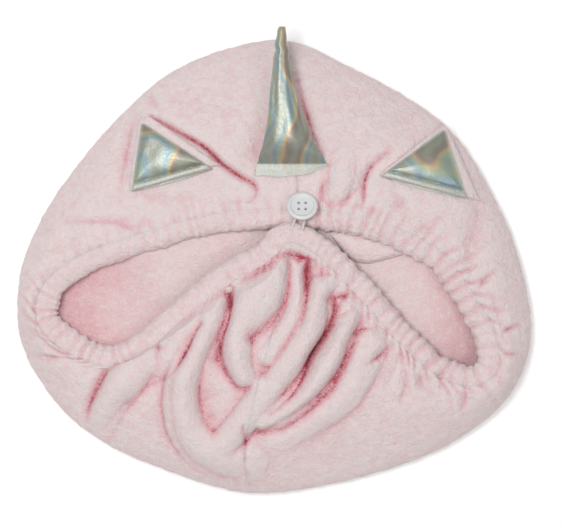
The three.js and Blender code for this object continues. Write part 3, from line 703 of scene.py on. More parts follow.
RIDGE = FoldKind.RIDGE
CREASE = FoldKind.CREASE
TROUGH = FoldKind.TROUGH
FOLDS = {
    "nape fold at the left": Fold(
        RIDGE, ((158, 344), (140, 360), (122, 382), (108, 404), (98, 428)), (9, 13, 9), (4, 7.5, 2)
    ),
    "fold beside it": Fold(
        RIDGE, ((200, 306), (188, 326), (172, 348), (156, 366)), (6, 8, 7), (3, 5.5, 1)
    ),
    "hooked fold": Fold(
        RIDGE,
        (
            (216, 302), (207, 324), (193, 350), (183, 376), (180, 404), (187, 432), (204, 452),
            (226, 462), (246, 464),
        ),
        (7, 11, 13), (5, 9.5, 3),
    ),
    "end of the hook": Fold(
        RIDGE, ((206, 450), (222, 444), (238, 428), (252, 408), (264, 388)), (8, 9, 8), (4, 7, 5)
    ),
    "tongue fold": Fold(
        RIDGE, ((266, 266), (262, 286), (252, 306), (242, 324)), (13, 15, 10), (7, 9.5, 6)
    ),
    "tip of the tongue": Fold(
        RIDGE, ((240, 318), (236, 338), (237, 358), (243, 376)), (9, 9.5, 7), (5.5, 7.5, 5)
    ),
    "strip in the shade": Fold(
        RIDGE, ((299, 268), (298, 292), (294, 314), (282, 336), (268, 356)), (4.5, 6, 6), (0.5, 4, 3)
    ),
    "middle fold": Fold(
        RIDGE,
        ((342, 270), (326, 282), (315, 298), (311, 322), (300, 346), (285, 368), (270, 390), (258, 410)),
        (6, 9, 7), (4, 8, 4),
    ),
    "long fold": Fold(
        RIDGE,
        ((362, 294), (350, 312), (341, 336), (328, 360), (312, 382), (290, 402), (262, 420)),
        (6, 9.5, 6), (4, 9, 4),
    ),
    "fold beyond it": Fold(
        RIDGE,
        ((386, 330), (370, 352), (354, 378), (334, 402), (306, 422), (280, 436)),
        (8, 12, 9), (4, 6, 1),
    ),
    "lump under the right arm": Fold(RIDGE, ((380, 318), (372, 332), (360, 346)), (6, 7, 6), (2, 4, 1)),
    "second lump there": Fold(RIDGE, ((412, 352), (410, 368), (402, 384)), (7, 8, 7), (1, 4, 1)),
    "dark hollow under the peak": Fold(
        CREASE, ((290, 254), (298, 257), (306, 260), (315, 260)), (6, 8, 5), (5, 8, 4)
    ),
    "crease under the peak": Fold(
        CREASE,
        ((308, 259), (307, 274), (308, 289), (306, 303), (303, 318), (297, 334)),
        (7, 6, 5), (8, 5, 0.8),
    ),
    "crease along the tongue": Fold(
        CREASE,
        ((291, 258), (290, 274), (288, 292), (281, 310), (268, 328), (252, 338)),
        (7, 7, 7), (2.5, 2.5, 1.5),
    ),
    "crease above the hollow": Fold(
        CREASE,
        ((229, 286), (231, 302), (229, 320), (223, 338), (219, 357)),
        (8, 7, 9), (6.5, 5.5, 5), 1.0,
    ),
    "crease on to the tip": Fold(
        CREASE, ((221, 362), (228, 376), (238, 386), (250, 389)), (7, 6, 6), (2.5, 2, 1)
    ),
    "hollow in the hook": Fold(
        TROUGH, ((217, 366), (213, 384), (209, 402), (211, 416)), (10, 12, 8), (2, 1.5, 1)
    ),
    "crease beside the hook": Fold(
        CREASE,
        ((202, 324), (194, 338), (186, 354), (177, 368), (168, 378)),
        (6, 8, 8), (3, 6.5, 1.5), 1.0,
    ),
    "rim of the hook": Fold(
        CREASE,
        ((175, 372), (171, 392), (173, 416), (180, 440), (194, 460), (214, 474), (232, 480)),
        (9, 9, 8), (2, 2.2, 1.5),
    ),
    "crease left of the nape fold": Fold(
        CREASE, ((124, 347), (108, 369), (97, 389), (88, 408), (84, 422)), (8, 8, 7), (2.5, 4.5, 1.5)
    ),
    "crease right of the nape fold": Fold(
        CREASE, ((174, 374), (150, 386), (134, 398), (116, 412), (102, 432)), (9, 9, 8), (1.5, 2.2, 1)
    ),
    "crease above the fork": Fold(
        CREASE, ((358, 284), (349, 294), (338, 298), (330, 299)), (5.5, 6, 5), (2, 3.5, 1.5)
    ),
    "crease beside the fork": Fold(
        CREASE, ((358, 305), (348, 311), (337, 317)), (5, 5, 5), (0.8, 2.5, 3)
    ),
    "long crease": Fold(
        CREASE,
        (
            (335, 299), (336, 311), (330, 328), (320, 342), (310, 357), (304, 375), (295, 391),
            (283, 404), (270, 414),
        ),
        (6, 7.5, 6), (4, 7.5, 2), -1.0,
    ),
    "crease beyond the long fold": Fold(
        CREASE,
        (
            (372, 328), (355, 332), (347, 345), (344, 360), (334, 384), (319, 402), (297, 421),
            (276, 431), (248, 433),
        ),
        (6, 8, 7), (2.5, 4.5, 1.5),
    ),
    "short crease": Fold(
        CREASE, ((391, 343), (383, 353), (372, 361), (362, 366)), (6, 6, 5), (2, 3.5, 0.8)
    ),
    "little crease": Fold(CREASE, ((315, 277), (322, 276), (330, 275)), (4, 5, 4), (1.5, 2.5, 0.5)),
    "crease of the right arm": Fold(
        CREASE, ((403, 346), (404, 364), (406, 384), (401, 400)), (6, 7, 6), (1, 2.4, 0.8)
    ),
    "second of the right arm": Fold(CREASE, ((420, 366), (422, 382), (430, 394)), (5, 6, 5), (1, 2, 0.5)),
    "third of the right arm": Fold(
        CREASE, ((439, 372), (441, 384), (440, 392)), (5, 5.5, 5), (1.5, 2.5, 0.5)
    ),
    "fourth of the right arm": Fold(
        CREASE, ((454, 374), (464, 386), (466, 400), (462, 414)), (5, 6.5, 6), (3, 3.5, 0.5)
    ),
    "blunt end of the arm": Fold(
        CREASE, ((478, 364), (494, 364), (502, 370), (500, 382)), (5, 6, 5), (2, 3, 1.5)
    ),
    "right side, lower": Fold(CREASE, ((501, 354), (510, 354), (518, 355)), (4.5, 5, 4), (2, 3, 1)),
    "right side, upper": Fold(CREASE, ((501, 332), (511, 329), (521, 325)), (5, 5, 4), (2, 3, 1)),
    "line beside the right casing": Fold(
        CREASE, ((486, 288), (494, 302), (499, 318), (503, 340), (502, 362)), (5, 7, 6), (1, 1.8, 1.2)
    ),
    "crease over the right shoulder": Fold(
        CREASE, ((479, 290), (484, 281), (494, 273)), (5, 6, 4), (2, 3, 1)
    ),
    "soft valley at the right": Fold(
        TROUGH, ((480, 206), (477, 228), (473, 250), (465, 272)), (10, 14, 9), (1.5, 4, 2.5)
    ),
    "shoulder crease": Fold(CREASE, ((415, 237), (428, 230), (440, 216)), (5, 6, 5), (1.8, 2.2, 0.5)),
    "pocket by the button": Fold(
        CREASE,
        ((323, 184), (322, 195), (327, 204), (337, 206), (349, 197), (360, 187)),
        (5, 6, 5), (1.5, 3.5, 1), 1.0,
    ),
    "fold in the pocket": Fold(RIDGE, ((344, 158), (342, 176), (338, 194)), (7, 8, 6), (1, 4, 3)),
    "crease by the right ear": Fold(
        CREASE,
        ((388, 151), (377, 161), (369, 171), (365, 184), (364, 198), (361, 210)),
        (6, 6.5, 5), (1.5, 3.8, 2.5), 1.0,
    ),
    "dimple by the right ear": Fold(CREASE, ((373, 212), (376, 216), (379, 219)), (4, 4.5, 4), (1, 2, 1)),
    "crease right of it": Fold(TROUGH, ((396, 196), (401, 205), (407, 215)), (7, 8, 6), (1, 1.8, 0.5)),
    "crease by the left ear": Fold(
        CREASE,
        (
            (149, 115.5), (160, 120.5), (171, 127), (182, 133.5), (194, 140), (206.5, 148.5),
            (217.5, 160), (226, 167), (240, 177), (251, 182.5), (256, 188), (255, 196), (246.5, 205),
        ),
        (3.2, 4.2, 5), (2.6, 5.4, 1.4),
    ),
    "shade left of the left ear": Fold(
        CREASE, ((131, 122), (125, 150), (119, 188)), (7, 8, 7), (1, 2, 0.8)
    ),
    "shade under the left ear": Fold(
        TROUGH, ((140, 192), (168, 200), (196, 196)), (8, 9, 7), (0.8, 1.2, 0.5)
    ),
    "shade right of the horn": Fold(
        CREASE, ((297, 72), (302, 95), (308, 115), (314, 135), (322, 152)), (6, 7, 6), (1.5, 3.4, 1.4)
    ),
    "soft trough left of the horn": Fold(
        TROUGH, ((262, 120), (259, 138), (252, 156), (246, 172)), (9, 10, 9), (1, 2, 1)
    ),
    "long crease at the left": Fold(
        CREASE,
        ((66, 221), (90, 222), (114, 223), (128, 228), (138, 235), (150, 242)),
        (7, 8, 6), (0.8, 2.4, 1.4),
    ),
    "upper left shading": Fold(
        TROUGH, ((84, 237), (68, 246), (54, 250), (40, 257)), (7, 8, 7), (1, 2.2, 1)
    ),
    "left edge crease": Fold(CREASE, ((50, 275), (38, 279), (28, 288)), (5, 6, 5), (0.8, 1.8, 0.8)),
    "left corner line": Fold(
        CREASE,
        ((34, 322), (36, 333), (47, 345), (60, 353), (74, 354), (86, 359), (98, 365)),
        (6, 6, 6), (1.5, 3, 1.2),
    ),
    "line under the left corner": Fold(
        CREASE, ((38, 357), (50, 359), (62, 356)), (5, 5, 5), (0.8, 2, 0.8)
    ),
    "little crease of the left arm": Fold(
        CREASE, ((157, 340), (159, 348), (158, 357)), (5, 5.5, 5), (1.5, 2.6, 0.8)
    ),
    "crease at the nape seam": Fold(
        CREASE, ((243, 424), (244, 432), (245, 442)), (3.5, 4, 3), (2.5, 2.5, 0.8)
    ),
    "step at the upper left edge": Fold(
        CREASE, ((147, 90), (151, 99), (158, 108)), (6, 7, 6), (1.5, 1.5, 0.5)
    ),
}


@dataclass
class FoldField:
    """Works out what all the folds do at places on the cloth. blend is the soft maximum's
    width, and deepest the depth at which a crease gets its full painted shade."""

    picture: Picture
    steps: int = 26
    blend: float = 0.9 * MM
    level: float = 34 * MM
    deepest: float = 7.5 * MM
    ridge_power: float = 0.9
    crease_power: float = 1.7
    # depth_power, core, core_power and flank shape the creases' painted shade.
    depth_power: float = 1.4
    core: float = 1.10
    core_power: float = 4.5
    flank: float = 0.12

    def nearest(self, fold: Fold, place: Array) -> tuple[Array, Array, Array, Array]:
        """Finds the nearest point of a fold's curve for each place.

        Args:
            fold: The fold.
            place: Places on the level, two numbers a row, in metres from the hood's middle.

        Returns:
            The distance, the share of the way along, the side (1 on the left) and the vector
            to the nearest point.
        """
        line = open_curve(self.picture.places(fold.path, self.level), self.steps)
        distance = np.full(len(place), np.inf)
        share = np.zeros(len(place))
        side = np.ones(len(place))
        toward = np.zeros_like(place)
        for number, (start, end) in enumerate(zip(line[:-1], line[1:])):
            step = end - start
            from_start = place - start
            t = np.clip(from_start @ step / (step @ step), 0, 1)
            to_point = t[:, None] * step - from_start
            away = np.hypot(to_point[:, 0], to_point[:, 1])
            closer = away < distance
            distance = np.where(closer, away, distance)
            share = np.where(closer, (number + t) / self.steps, share)
            turned = step[0] * from_start[:, 1] - step[1] * from_start[:, 0]
            side = np.where(closer, np.sign(turned), side)
            toward = np.where(closer[:, None], to_point, toward)
        return distance, share, side, toward

    def read(self, place: Array) -> tuple[Array, Array, Array]:
        """Adds up the folds.

        With t the distance over the reach, a ridge is (1 - t squared) to the power of
        ridge_power, and ridges are joined by a soft maximum. A crease is (1 - t) to the power
        of crease_power, and the deepest one holds. A trough is a bell curve.

        Args:
            place: Places on the level, two numbers a row, in metres from the hood's middle.

        Returns:
            The height added, the creases' painted shade from 0 to 1, and the level shift of lips.
        """
        count = len(place)
        ridges = np.zeros(count)
        crease = np.zeros(count)
        crease_shade = np.zeros(count)
        trough = np.zeros(count)
        shift = np.zeros((count, 2))
        for fold in FOLDS.values():
            line = self.picture.places(fold.path, self.level)
            margin = 1.5 * max(fold.reach) * MM
            low, high = line.min(axis=0) - margin, line.max(axis=0) + margin
            near = np.flatnonzero(np.all((place > low) & (place < high), axis=1))
            if not len(near):
                continue
            distance, share, side, toward = self.nearest(fold, place[near])
            reach = np.interp(share, (0, 0.5, 1), fold.reach) * MM
            height = np.interp(share, (0, 0.5, 1), fold.height) * MM
            t = np.clip(distance / reach, 0, 1)
            if fold.kind is FoldKind.RIDGE:
                added = height * (1 - t * t) ** self.ridge_power
                ridges[near] = self.blend * np.log(
                    np.exp(ridges[near] / self.blend) + np.exp(added / self.blend) - 1
                )
            elif fold.kind is FoldKind.TROUGH:
                trough[near] += height * np.exp(-((distance / (0.6 * reach)) ** 2))
            else:
                crease[near] = np.maximum(crease[near], height * (1 - t) ** self.crease_power)
                # Painted shade of a crease: more the deeper it is, most down its middle, a little on its
                # flanks.
                deep = np.clip(height / self.deepest, 0, 1) ** self.depth_power
                red = self.core * (1 - t) ** self.core_power + self.flank * (1 - t)
                crease_shade[near] = np.maximum(crease_shade[near], deep * red)
                over = np.where(side * np.sign(fold.lip) > 0, abs(fold.lip), 0.0) * MM
                fade = np.sin(np.pi * np.clip(share, 0, 1))
                slide = over * 4 * t * (1 - t) * fade
                shift[near] += unit(toward) * slide[:, None]
        return ridges - trough - crease, crease_shade, shift


@dataclass
class Gathers:
    """The little pleats that the elastic draws, as pillows of uneven width along the rim."""

    total: float
    least: float = 4.6 * MM
    most: float = 9.6 * MM
    seed: int = 11

    def __post_init__(self) -> None:
        """Draws the pillows' widths and strengths."""
        draw = np.random.default_rng(self.seed)
        widths = draw.uniform(self.least, self.most, int(self.total / self.least) + 4)
        self.ends = np.concatenate([[0.0], np.cumsum(widths)])
        self.strength = draw.uniform(0.35, 1.0, len(self.ends))

    def read(self, along: Array) -> tuple[Array, Array]:
        """Reads the pleats at distances along the rim.

        Args:
            along: Distances in metres, below the rim's whole length.

        Returns:
            How deep each place lies between two pillows, from 0 on a crown to 1 in a valley,
            and the strength of the pleat there.
        """
        along = np.mod(along, self.total)
        index = np.clip(np.searchsorted(self.ends, along, side="right") - 1, 0, len(self.ends) - 2)
        start, end = self.ends[index], self.ends[index + 1]
        share = np.clip((along - start) / (end - start), 0, 1)
        valley = np.abs(np.cos(np.pi * share)) ** 2.6
        at_start = self.strength[index]
        at_end = self.strength[index + 1]
        return valley, np.where(share < 0.5, at_start, at_end)


@dataclass
class Hood:
    """The plush bag in two halves with its gathered casing."""

    finish: Plush
    picture: Picture
    width: float = 300 * MM
    length: float = 264 * MM
    fabric: float = 3 * MM
    rise: float = 34 * MM
    puff: float = 6 * MM
    edge_rise: float = 7 * MM
    edge_round: float = 8 * MM
    casing_inward: float = 7.8 * MM
    casing_outward: float = 8.6 * MM
    casing_height: float = 11.5 * MM
    casing_seat: float = 4.0 * MM
    casing_lip: float = 3.4 * MM
    lip_reach: float = 9 * MM
    stitch_line: float = 5.5 * MM
    stitch_depth: float = 0.8 * MM
    rib_depth: float = 1.9 * MM
    gather_reach: float = 11 * MM
    arch: float = 13 * MM
    crown_lift: float = 5 * MM
    oval_half: tuple[float, float] = (158 * MM, 100 * MM)
    oval_middle: tuple[float, float] = (-2 * MM, -14 * MM)
    seam_bend: float = 9 * MM
    seam_depth: float = 1.3 * MM
    seam_reach: float = 1.8 * MM
    seam_gap: float = 0.04 * MM
    cut: tuple[float, float] = (0.31, 0.30)
    cut_area: float = 0.075
    half_steps: int = 460
    top_steps: int = 118
    curl_steps: int = 10
    base_steps: int = 22
    casing_steps: int = 1180
    casing_sides: int = 44

    def __post_init__(self) -> None:
        """Lays the hood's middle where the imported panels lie."""
        self.table = np.array([[*s.edge, *s.rim, s.rise, s.gather] for s in STATIONS])
        edge = self.line(np.linspace(0, len(STATIONS), 2000), "edge")
        low = np.minimum(*(np.array(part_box(n)[0]) for n in ("left_panel", "right_panel")))
        high = np.maximum(*(np.array(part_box(n)[1]) for n in ("left_panel", "right_panel")))
        own = (edge.min(axis=0) + edge.max(axis=0)) / 2
        self.middle = (low[:2] + high[:2]) / 2 - own
        self.folds = FoldField(self.picture)
        self.plush = self.finish.material()
        numbers = np.linspace(0, len(STATIONS), 4001)
        steps = np.linalg.norm(np.diff(self.line(numbers, "rim"), axis=0), axis=1)
        self.rim_numbers = numbers
        self.rim_along = np.concatenate([[0.0], np.cumsum(steps)])
        self.gathers = Gathers(self.rim_along[-1])

    def line(self, at: Array, which: str) -> Array:
        """The edge or the rim at station numbers, in metres from the hood's middle."""
        first = {"edge": 0, "rim": 2}[which]
        shares = closed_curve(self.table, at)[:, first : first + 2]
        return shares * [self.width / 2, self.length / 2]

    def outward(self, at: Array, which: str) -> Array:
        """Level unit normals of the edge or the rim, away from the mouth."""
        step = 0.02
        along = unit(self.line(at + step, which) - self.line(at - step, which))
        return np.stack([-along[:, 1], along[:, 0]], axis=-1)

    def upper(self, at: Array, turn: Array) -> tuple[Array, Array, Array]:
        """The upper layer without its folds.

        The place goes from the folded edge to the rim as 1 less the cosine of turn, and the
        height rises with the sine of turn to a crest that swells between edge and rim. Near
        the nape the rows bend to the left, most at a quarter of the way, as the seam does.

        Args:
            at: Station numbers, one a row.
            turn: Turns from 0 at the folded edge to a quarter turn at the rim, one a column.

        Returns:
            The points, their distance from the rim, and the share of the way to it.
        """
        edge = self.line(at, "edge")[:, None]
        end = (self.line(at, "rim") + self.outward(at, "rim") * self.casing_seat)[:, None]
        rise = self.rise * closed_curve(self.table, at)[:, 4][:, None]
        share = 1 - np.cos(turn)[None, :]
        place = edge + (end - edge) * share[..., None]
        bend = np.exp(-(((at - BACK_SEAM) / 2.0) ** 2))[:, None] * np.sin(np.pi * share**0.5) ** 2
        place[..., 0] -= self.seam_bend * bend
        from_rim = np.linalg.norm(place - end, axis=-1)
        lip = self.casing_lip * np.exp(-((from_rim / self.lip_reach) ** 2))
        crest = rise + self.fabric / 2 + lip + self.puff * np.sin(np.pi * share)
        height = self.edge_rise + (crest - self.edge_rise) * np.sin(turn)[None, :]
        return np.concatenate([place, height[..., None]], axis=-1), from_rim, share

    def dressed(self, points: Array, at: Array, from_rim: Array, share: Array) -> tuple[Array, Array]:
        """Puts folds, gathers, the seams' grooves and the tufts on the upper layer.

        Args:
            points: The plain upper layer, a ring of rows.
            at: Station numbers, one a row.
            from_rim: Distances from the rim.
            share: Shares of the way from the edge to the rim.

        Returns:
            The moved points, and a painted shade mark from 0 on open cloth to 1 deep in a crease.
        """
        shape = points.shape[:2]
        height, crease_shade, shift = self.folds.read(points.reshape(-1, 3)[:, :2])
        height, crease_shade, shift = height.reshape(shape), crease_shade.reshape(shape), shift.reshape(*shape, 2)
        near_edge = smooth_step(share, -0.02, 0.16)
        near_rim = smooth_step(from_rim, 0.001, 0.013)
        height = height * near_edge * near_rim
        valley, power = self.pleats(points, at)
        fade = np.exp(-((from_rim / (self.gather_reach * (0.35 + 0.85 * power))) ** 1.3))
        ribs = self.rib_depth * power * fade * (valley - 0.3)
        stitch = np.exp(-(((from_rim - self.stitch_line) / (3.0 * MM)) ** 2))
        stitch = stitch * np.clip(noise(points, 18 * MM, 9) + 0.45, 0, 1)
        seams = self.seams(points, at, share)
        relief = height + self.sway(points, from_rim) * near_edge - ribs
        relief = relief - self.seam_depth * seams - self.stitch_depth * stitch
        tufts = self.tufts(points)
        moved = points + grid_normals(points) * (relief + tufts)[..., None]
        moved[..., :2] += shift * (near_edge * near_rim**2)[..., None]
        # Painted shade: in hollows, in the gathers' valleys and the seams' grooves, with the creases' shade
        # on top.
        hollow = self.hollow_shade(relief, tufts) + 0.30 * fade * power * valley**2 + 0.12 * seams
        crease_shade = crease_shade * near_edge * (0.80 + 0.20 * near_rim)
        return moved, np.clip(hollow + crease_shade * (1 - hollow), 0, 1)

    def sway(self, points: Array, from_rim: Array) -> Array:
        """The cloth's broad unevenness, with lumps of the casing's size near the rim."""
        broad = noise(points, 48 * MM, 1) * 1.3 * MM + noise(points, 23 * MM, 2) * 0.5 * MM
        lumps = noise(points, 12 * MM, 7) * 1.0 * MM
        return broad + lumps * (0.12 + 0.88 * np.exp(-((from_rim / (15 * MM)) ** 2)))

    def seams(self, points: Array, at: Array, share: Array) -> Array:
        """How much of a seam's groove lies at each point: the nape one only near the edge."""
        groove = np.zeros(points.shape[:2])
        for seam, strength in ((FRONT_SEAM, 0.3), (BACK_SEAM, 1.0)):
            line = points[np.argmin(np.abs(at - seam))]
            away = np.linalg.norm(points[..., :2] - line[None, :, :2], axis=-1)
            shown = strength * np.exp(-((away / self.seam_reach) ** 2))
            fade = 1 - smooth_step(share, 0.22, 0.29) if seam == BACK_SEAM else 1.0
            groove = np.maximum(groove, shown * fade * smooth_step(share, 0.0, 0.2))
        return groove

    def tufts(self, points: Array) -> Array:
        """The pile's small lumps in two sizes."""
        return noise(points, 5.0 * MM, 3) * 0.40 * MM + noise(points, 2.6 * MM, 4) * 0.28 * MM

    def pleats(self, points: Array, at: Array) -> tuple[Array, Array]:
        """The gathers at points: how deep each lies between two pillows, and their strength."""
        level = points * [1, 1, 0]
        wander = noise(level, 18 * MM, 5) * 2.6 * MM
        along = np.interp(np.mod(at, len(STATIONS)), self.rim_numbers, self.rim_along)[:, None]
        valley, strength = self.gathers.read(along + wander)
        return valley, closed_curve(self.table, at)[:, 5][:, None] * strength

    @staticmethod
    def hollow_shade(relief: Array, tufts: Array) -> Array:
        """A painted shade mark from 0 on open cloth to about a half in a hollow.

        Args:
            relief: The cloth's height over its plain form.
            tufts: The pile's lumps.

        Returns:
            How far the relief lies under its own average over about 3 mm and over about 8 mm.
        """
        fine = blurred(relief, 14) - relief
        broad = blurred(relief, 100) - relief
        sunk = np.clip(fine / (5 * MM), -0.10, 0.22) + np.clip(broad / (6 * MM), -0.16, 0.40)
        return np.clip(0.08 + sunk - tufts / (8 * MM), 0, 1)

    def curl(self, at: Array, turn: Array, inset: float) -> Array:
        """The round from the folded edge down to the underside.

        Args:
            at: Station numbers, one a row.
            turn: Turns from 0 at the folded edge to a quarter turn below, one a column.
            inset: How far inside the outer face it lies.

        Returns:
            The points, a ring of rows.
        """
        inward = inset + (self.edge_round - inset) * (1 - np.cos(turn))[None, :, None]
        place = self.line(at, "edge")[:, None] - self.outward(at, "edge")[:, None] * inward
        height = self.edge_rise - (self.edge_rise - inset) * np.sin(turn)
        height = np.broadcast_to(height[None, :, None], (*place.shape[:2], 1))
        return np.concatenate([place, height], axis=-1)

    def base(self, at: Array, share: Array) -> Array:
        """The underside, from the curl across to the centre seam, lifted under the mouth.

        It rises by arch over a broad oval, and by crown_lift more towards the crown, and sways
        there in soft pleats that run from crown to nape, as the cloth behind the mouth does.

        Args:
            at: Station numbers, one a row.
            share: Shares of the way from the curl to the centre seam, one a column.

        Returns:
            The points, a ring of rows.
        """
        start = self.curl(at, np.array([QUARTER_TURN]), 0)
        ends = np.array([float(BACK_SEAM), float(FRONT_SEAM)])
        back, front = self.curl(ends, np.array([QUARTER_TURN]), 0)[:, 0]
        level = np.clip((start[..., 1] - back[1]) / (front[1] - back[1]), 0, 1)[..., None]
        points = start + (back + (front - back) * level - start) * share[None, :, None]
        oval = self.oval(points)
        skew = np.stack([points[..., 0] + 0.35 * points[..., 1], 0.3 * points[..., 1], 0 * oval], axis=-1)
        pleats = noise(skew, 19 * MM, 12) * 1.8 * MM + noise(skew, 10 * MM, 14) * 0.6 * MM
        crownward = smooth_step(points[..., 1], -30 * MM, 25 * MM)
        lifted = self.arch + crownward * self.crown_lift + noise(skew, 50 * MM, 8) * 1.5 * MM + pleats
        points[..., 2] += lifted * (1 - smooth_step(oval, 0.55, 1.05))
        return points

    def oval(self, points: Array) -> Array:
        """The distance from the mouth's middle, 1 on an oval round both of its lobes."""
        across = (points[..., 0] - self.oval_middle[0]) / self.oval_half[0]
        along = (points[..., 1] - self.oval_middle[1]) / self.oval_half[1]
        return np.hypot(across, along)

    def halves(self) -> dict[int, tuple[Array, Array, Array]]:
        """Works out both halves on one ring, so that they meet all along the seams.

        Returns:
            The outer grid, its painted shade marks and the inner grid by side: 1 right and -1 left.
        """
        count = 2 * self.half_steps
        at = np.linspace(0, len(STATIONS), count, endpoint=False)
        spread = (1 - np.linspace(0, 1, self.top_steps + 1)) ** 1.25
        top, from_rim, share = self.upper(at, np.arccos(1 - spread))
        outer_top, hollow = self.dressed(top, at, from_rim, share)
        curl_turn = np.linspace(0, QUARTER_TURN, self.curl_steps + 1)[1:]
        underside = self.base(at, np.linspace(0, 1, self.base_steps + 1)[1:])
        outer = np.hstack([outer_top, self.curl(at, curl_turn, 0), underside])
        inner_top = outer_top - grid_normals(top) * self.fabric
        sunk = inner_top[..., 2]
        near = [np.roll(sunk, step, axis=0) for step in (-1, 0, 1)]
        lowest = np.min([*near, np.roll(near[1], 1, axis=1), np.roll(near[1], -1, axis=1)], axis=0)
        inner_top[:, 1:-1, 2] = np.where(share > 0.2, lowest, sunk)[:, 1:-1]
        inside = underside + [0, 0, self.fabric]
        inner = np.hstack([inner_top, self.curl(at, curl_turn, self.fabric), inside])
        marks = np.zeros(outer.shape[:2])
        marks[:, : hollow.shape[1]] = hollow
        inner_marks = self.inside(inner)
        made = {}
        for side, first in ((1, 0), (-1, self.half_steps)):
            rows = np.arange(first, first + self.half_steps + 1) % count
            grids = [grid[rows].copy() for grid in (outer, inner)]
            for grid in grids:
                grid[[0, -1], :, 0] += side * self.seam_gap / 2
                grid[:, -1, 0] += side * self.seam_gap / 2
                grid[..., :2] += self.middle
            both = [marks[rows].ravel(), inner_marks[rows][::2, ::2].ravel()]
            made[side] = (grids[0], np.concatenate(both), grids[1][::2, ::2])
        self.skin = np.vstack([made[side][0][:, : self.top_steps + 1].reshape(-1, 3) for side in made])
        return made

    def inside(self, inner: Array) -> Array:
        """The hollow mark of the inner side: faint painted shade in soft patches, deeper towards the mouth's
        corners.
        """
        patches = noise(inner, 24 * MM, 13) * 0.05
        corners = smooth_step(np.abs(inner[..., 0] - 6 * MM), 62 * MM, 128 * MM)
        return np.clip(0.08 + patches + 0.36 * corners, 0, 1)

    def casing(self) -> bpy.types.Object:
        """Builds the gathered casing: an oval tube on the rim, its ribs round pillows."""
        at = np.linspace(0, len(STATIONS), self.casing_steps, endpoint=False)
        rim = self.line(at, "rim")
        outward = self.outward(at, "rim")
        turn = np.linspace(0, FULL_TURN, self.casing_sides, endpoint=False)[None, :]
        reach = np.where(np.cos(turn) > 0, self.casing_outward, self.casing_inward)
        level = np.cos(turn) * reach
        upward = np.sin(turn) * self.casing_height / 2
        place = rim[:, None] + outward[:, None] * level[..., None]
        height = closed_curve(self.table, at)[:, 4][:, None] * self.rise + upward
        points = np.concatenate([place, height[..., None]], axis=-1)
        valley, power = self.pleats(points, at)
        power = np.maximum(power, 0.10)
        ribs = self.rib_depth * power * (valley - 0.3)
        tufts = self.tufts(points)
        across = outward[:, None] * (np.cos(turn) / reach)[..., None]
        rising = np.broadcast_to(np.sin(turn) * 2 / self.casing_height, valley.shape)
        normals = unit(np.concatenate([across, rising[..., None]], axis=-1))
        points = points + normals * (self.sway(points, 0 * valley) + tufts - ribs)[..., None]
        points[..., :2] += self.middle
        # Painted shade in the gathers' valleys and under the tube, lighter on the tufts.
        under = smooth_step(-np.sin(turn), -0.2, 0.9)
        hollow = np.clip(0.08 + 0.34 * power * valley**2 + 0.22 * under - tufts / (7 * MM), 0, 1)
        skin, faces = tube(points, True)
        return put_mesh("casing", skin, faces, {"hollow": hollow.ravel()})

    def build(self) -> None:
        names = {1: ("panel_right", "right_panel"), -1: ("panel_left", "left_panel")}
        for side, (outer, hollow, inner) in self.halves().items():
            name, node = names[side]
            points, faces = closed_sheet(outer, inner)
            piece = put_mesh(name, points, faces, {"hollow": hollow})
            dress(piece, self.plush, Slot.PLUSH, node)
        casing = self.casing()
        dress(casing, self.plush, Slot.PLUSH, "elastic_casing")


def dress(piece: bpy.types.Object, material: bpy.types.Material, slot: Slot, *nodes: str) -> None:
    """Gives a piece its material and its place on the body, and hides the nodes that it stands for.

    Args:
        piece: The finished piece.
        material: Its material.
        slot: The record's slot for its finish; not used.
        nodes: CAD nodes that it replaces.
    """
    piece.data.materials.append(material)
    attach(piece, BODY)
    if nodes:
        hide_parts(*nodes)
    log.info("%s: %d faces, for %s", piece.name, len(piece.data.polygons), nodes or "trim")


@dataclass
class Skin:
    """The hood's finished upper skin, read as heights over a level grid."""

    points: Array
    cell: float = 1.6 * MM

    def __post_init__(self) -> None:
        """Keeps the highest point in each cell, and fills empty cells from their neighbours."""
        self.low = self.points[:, :2].min(axis=0) - 2 * self.cell
        index = ((self.points[:, :2] - self.low) / self.cell).astype(int)
        self.heights = np.zeros(index.max(axis=0) + 3)
        np.maximum.at(self.heights, (index[:, 0], index[:, 1]), self.points[:, 2])
        for _ in range(3):
            padded = np.pad(self.heights, 1)
            sides = [padded[:-2, 1:-1], padded[2:, 1:-1], padded[1:-1, :-2], padded[1:-1, 2:]]
            around = np.max(sides, axis=0)
            self.heights = np.where(self.heights > 0, self.heights, around)

    def read(self, places: Array) -> Array:
        """The height at places, blended between four cells."""
        at = (places - self.low) / self.cell - 0.5
        at = np.clip(at, 0, np.array(self.heights.shape) - 2.001)
        index = np.floor(at).astype(int)
        share = at - index
        total = np.zeros(places.shape[:-1])
        for i, j in np.ndindex(2, 2):
            weight = np.abs(1 - i - share[..., 0]) * np.abs(1 - j - share[..., 1])
            total += weight * self.heights[index[..., 0] + i, index[..., 1] + j]
        return total

    def smooth(self, places: Array) -> Array:
        """A curved sheet z = a + bx + cy + dxx + exy + fyy, fitted to the heights at places."""
        x, y = places[..., 0].ravel(), places[..., 1].ravel()
        terms = np.stack([np.ones_like(x), x, y, x * x, x * y, y * y], axis=-1)
        fitted = np.linalg.lstsq(terms, self.read(places).ravel(), rcond=None)[0]
        return (terms @ fitted).reshape(places.shape[:-1])


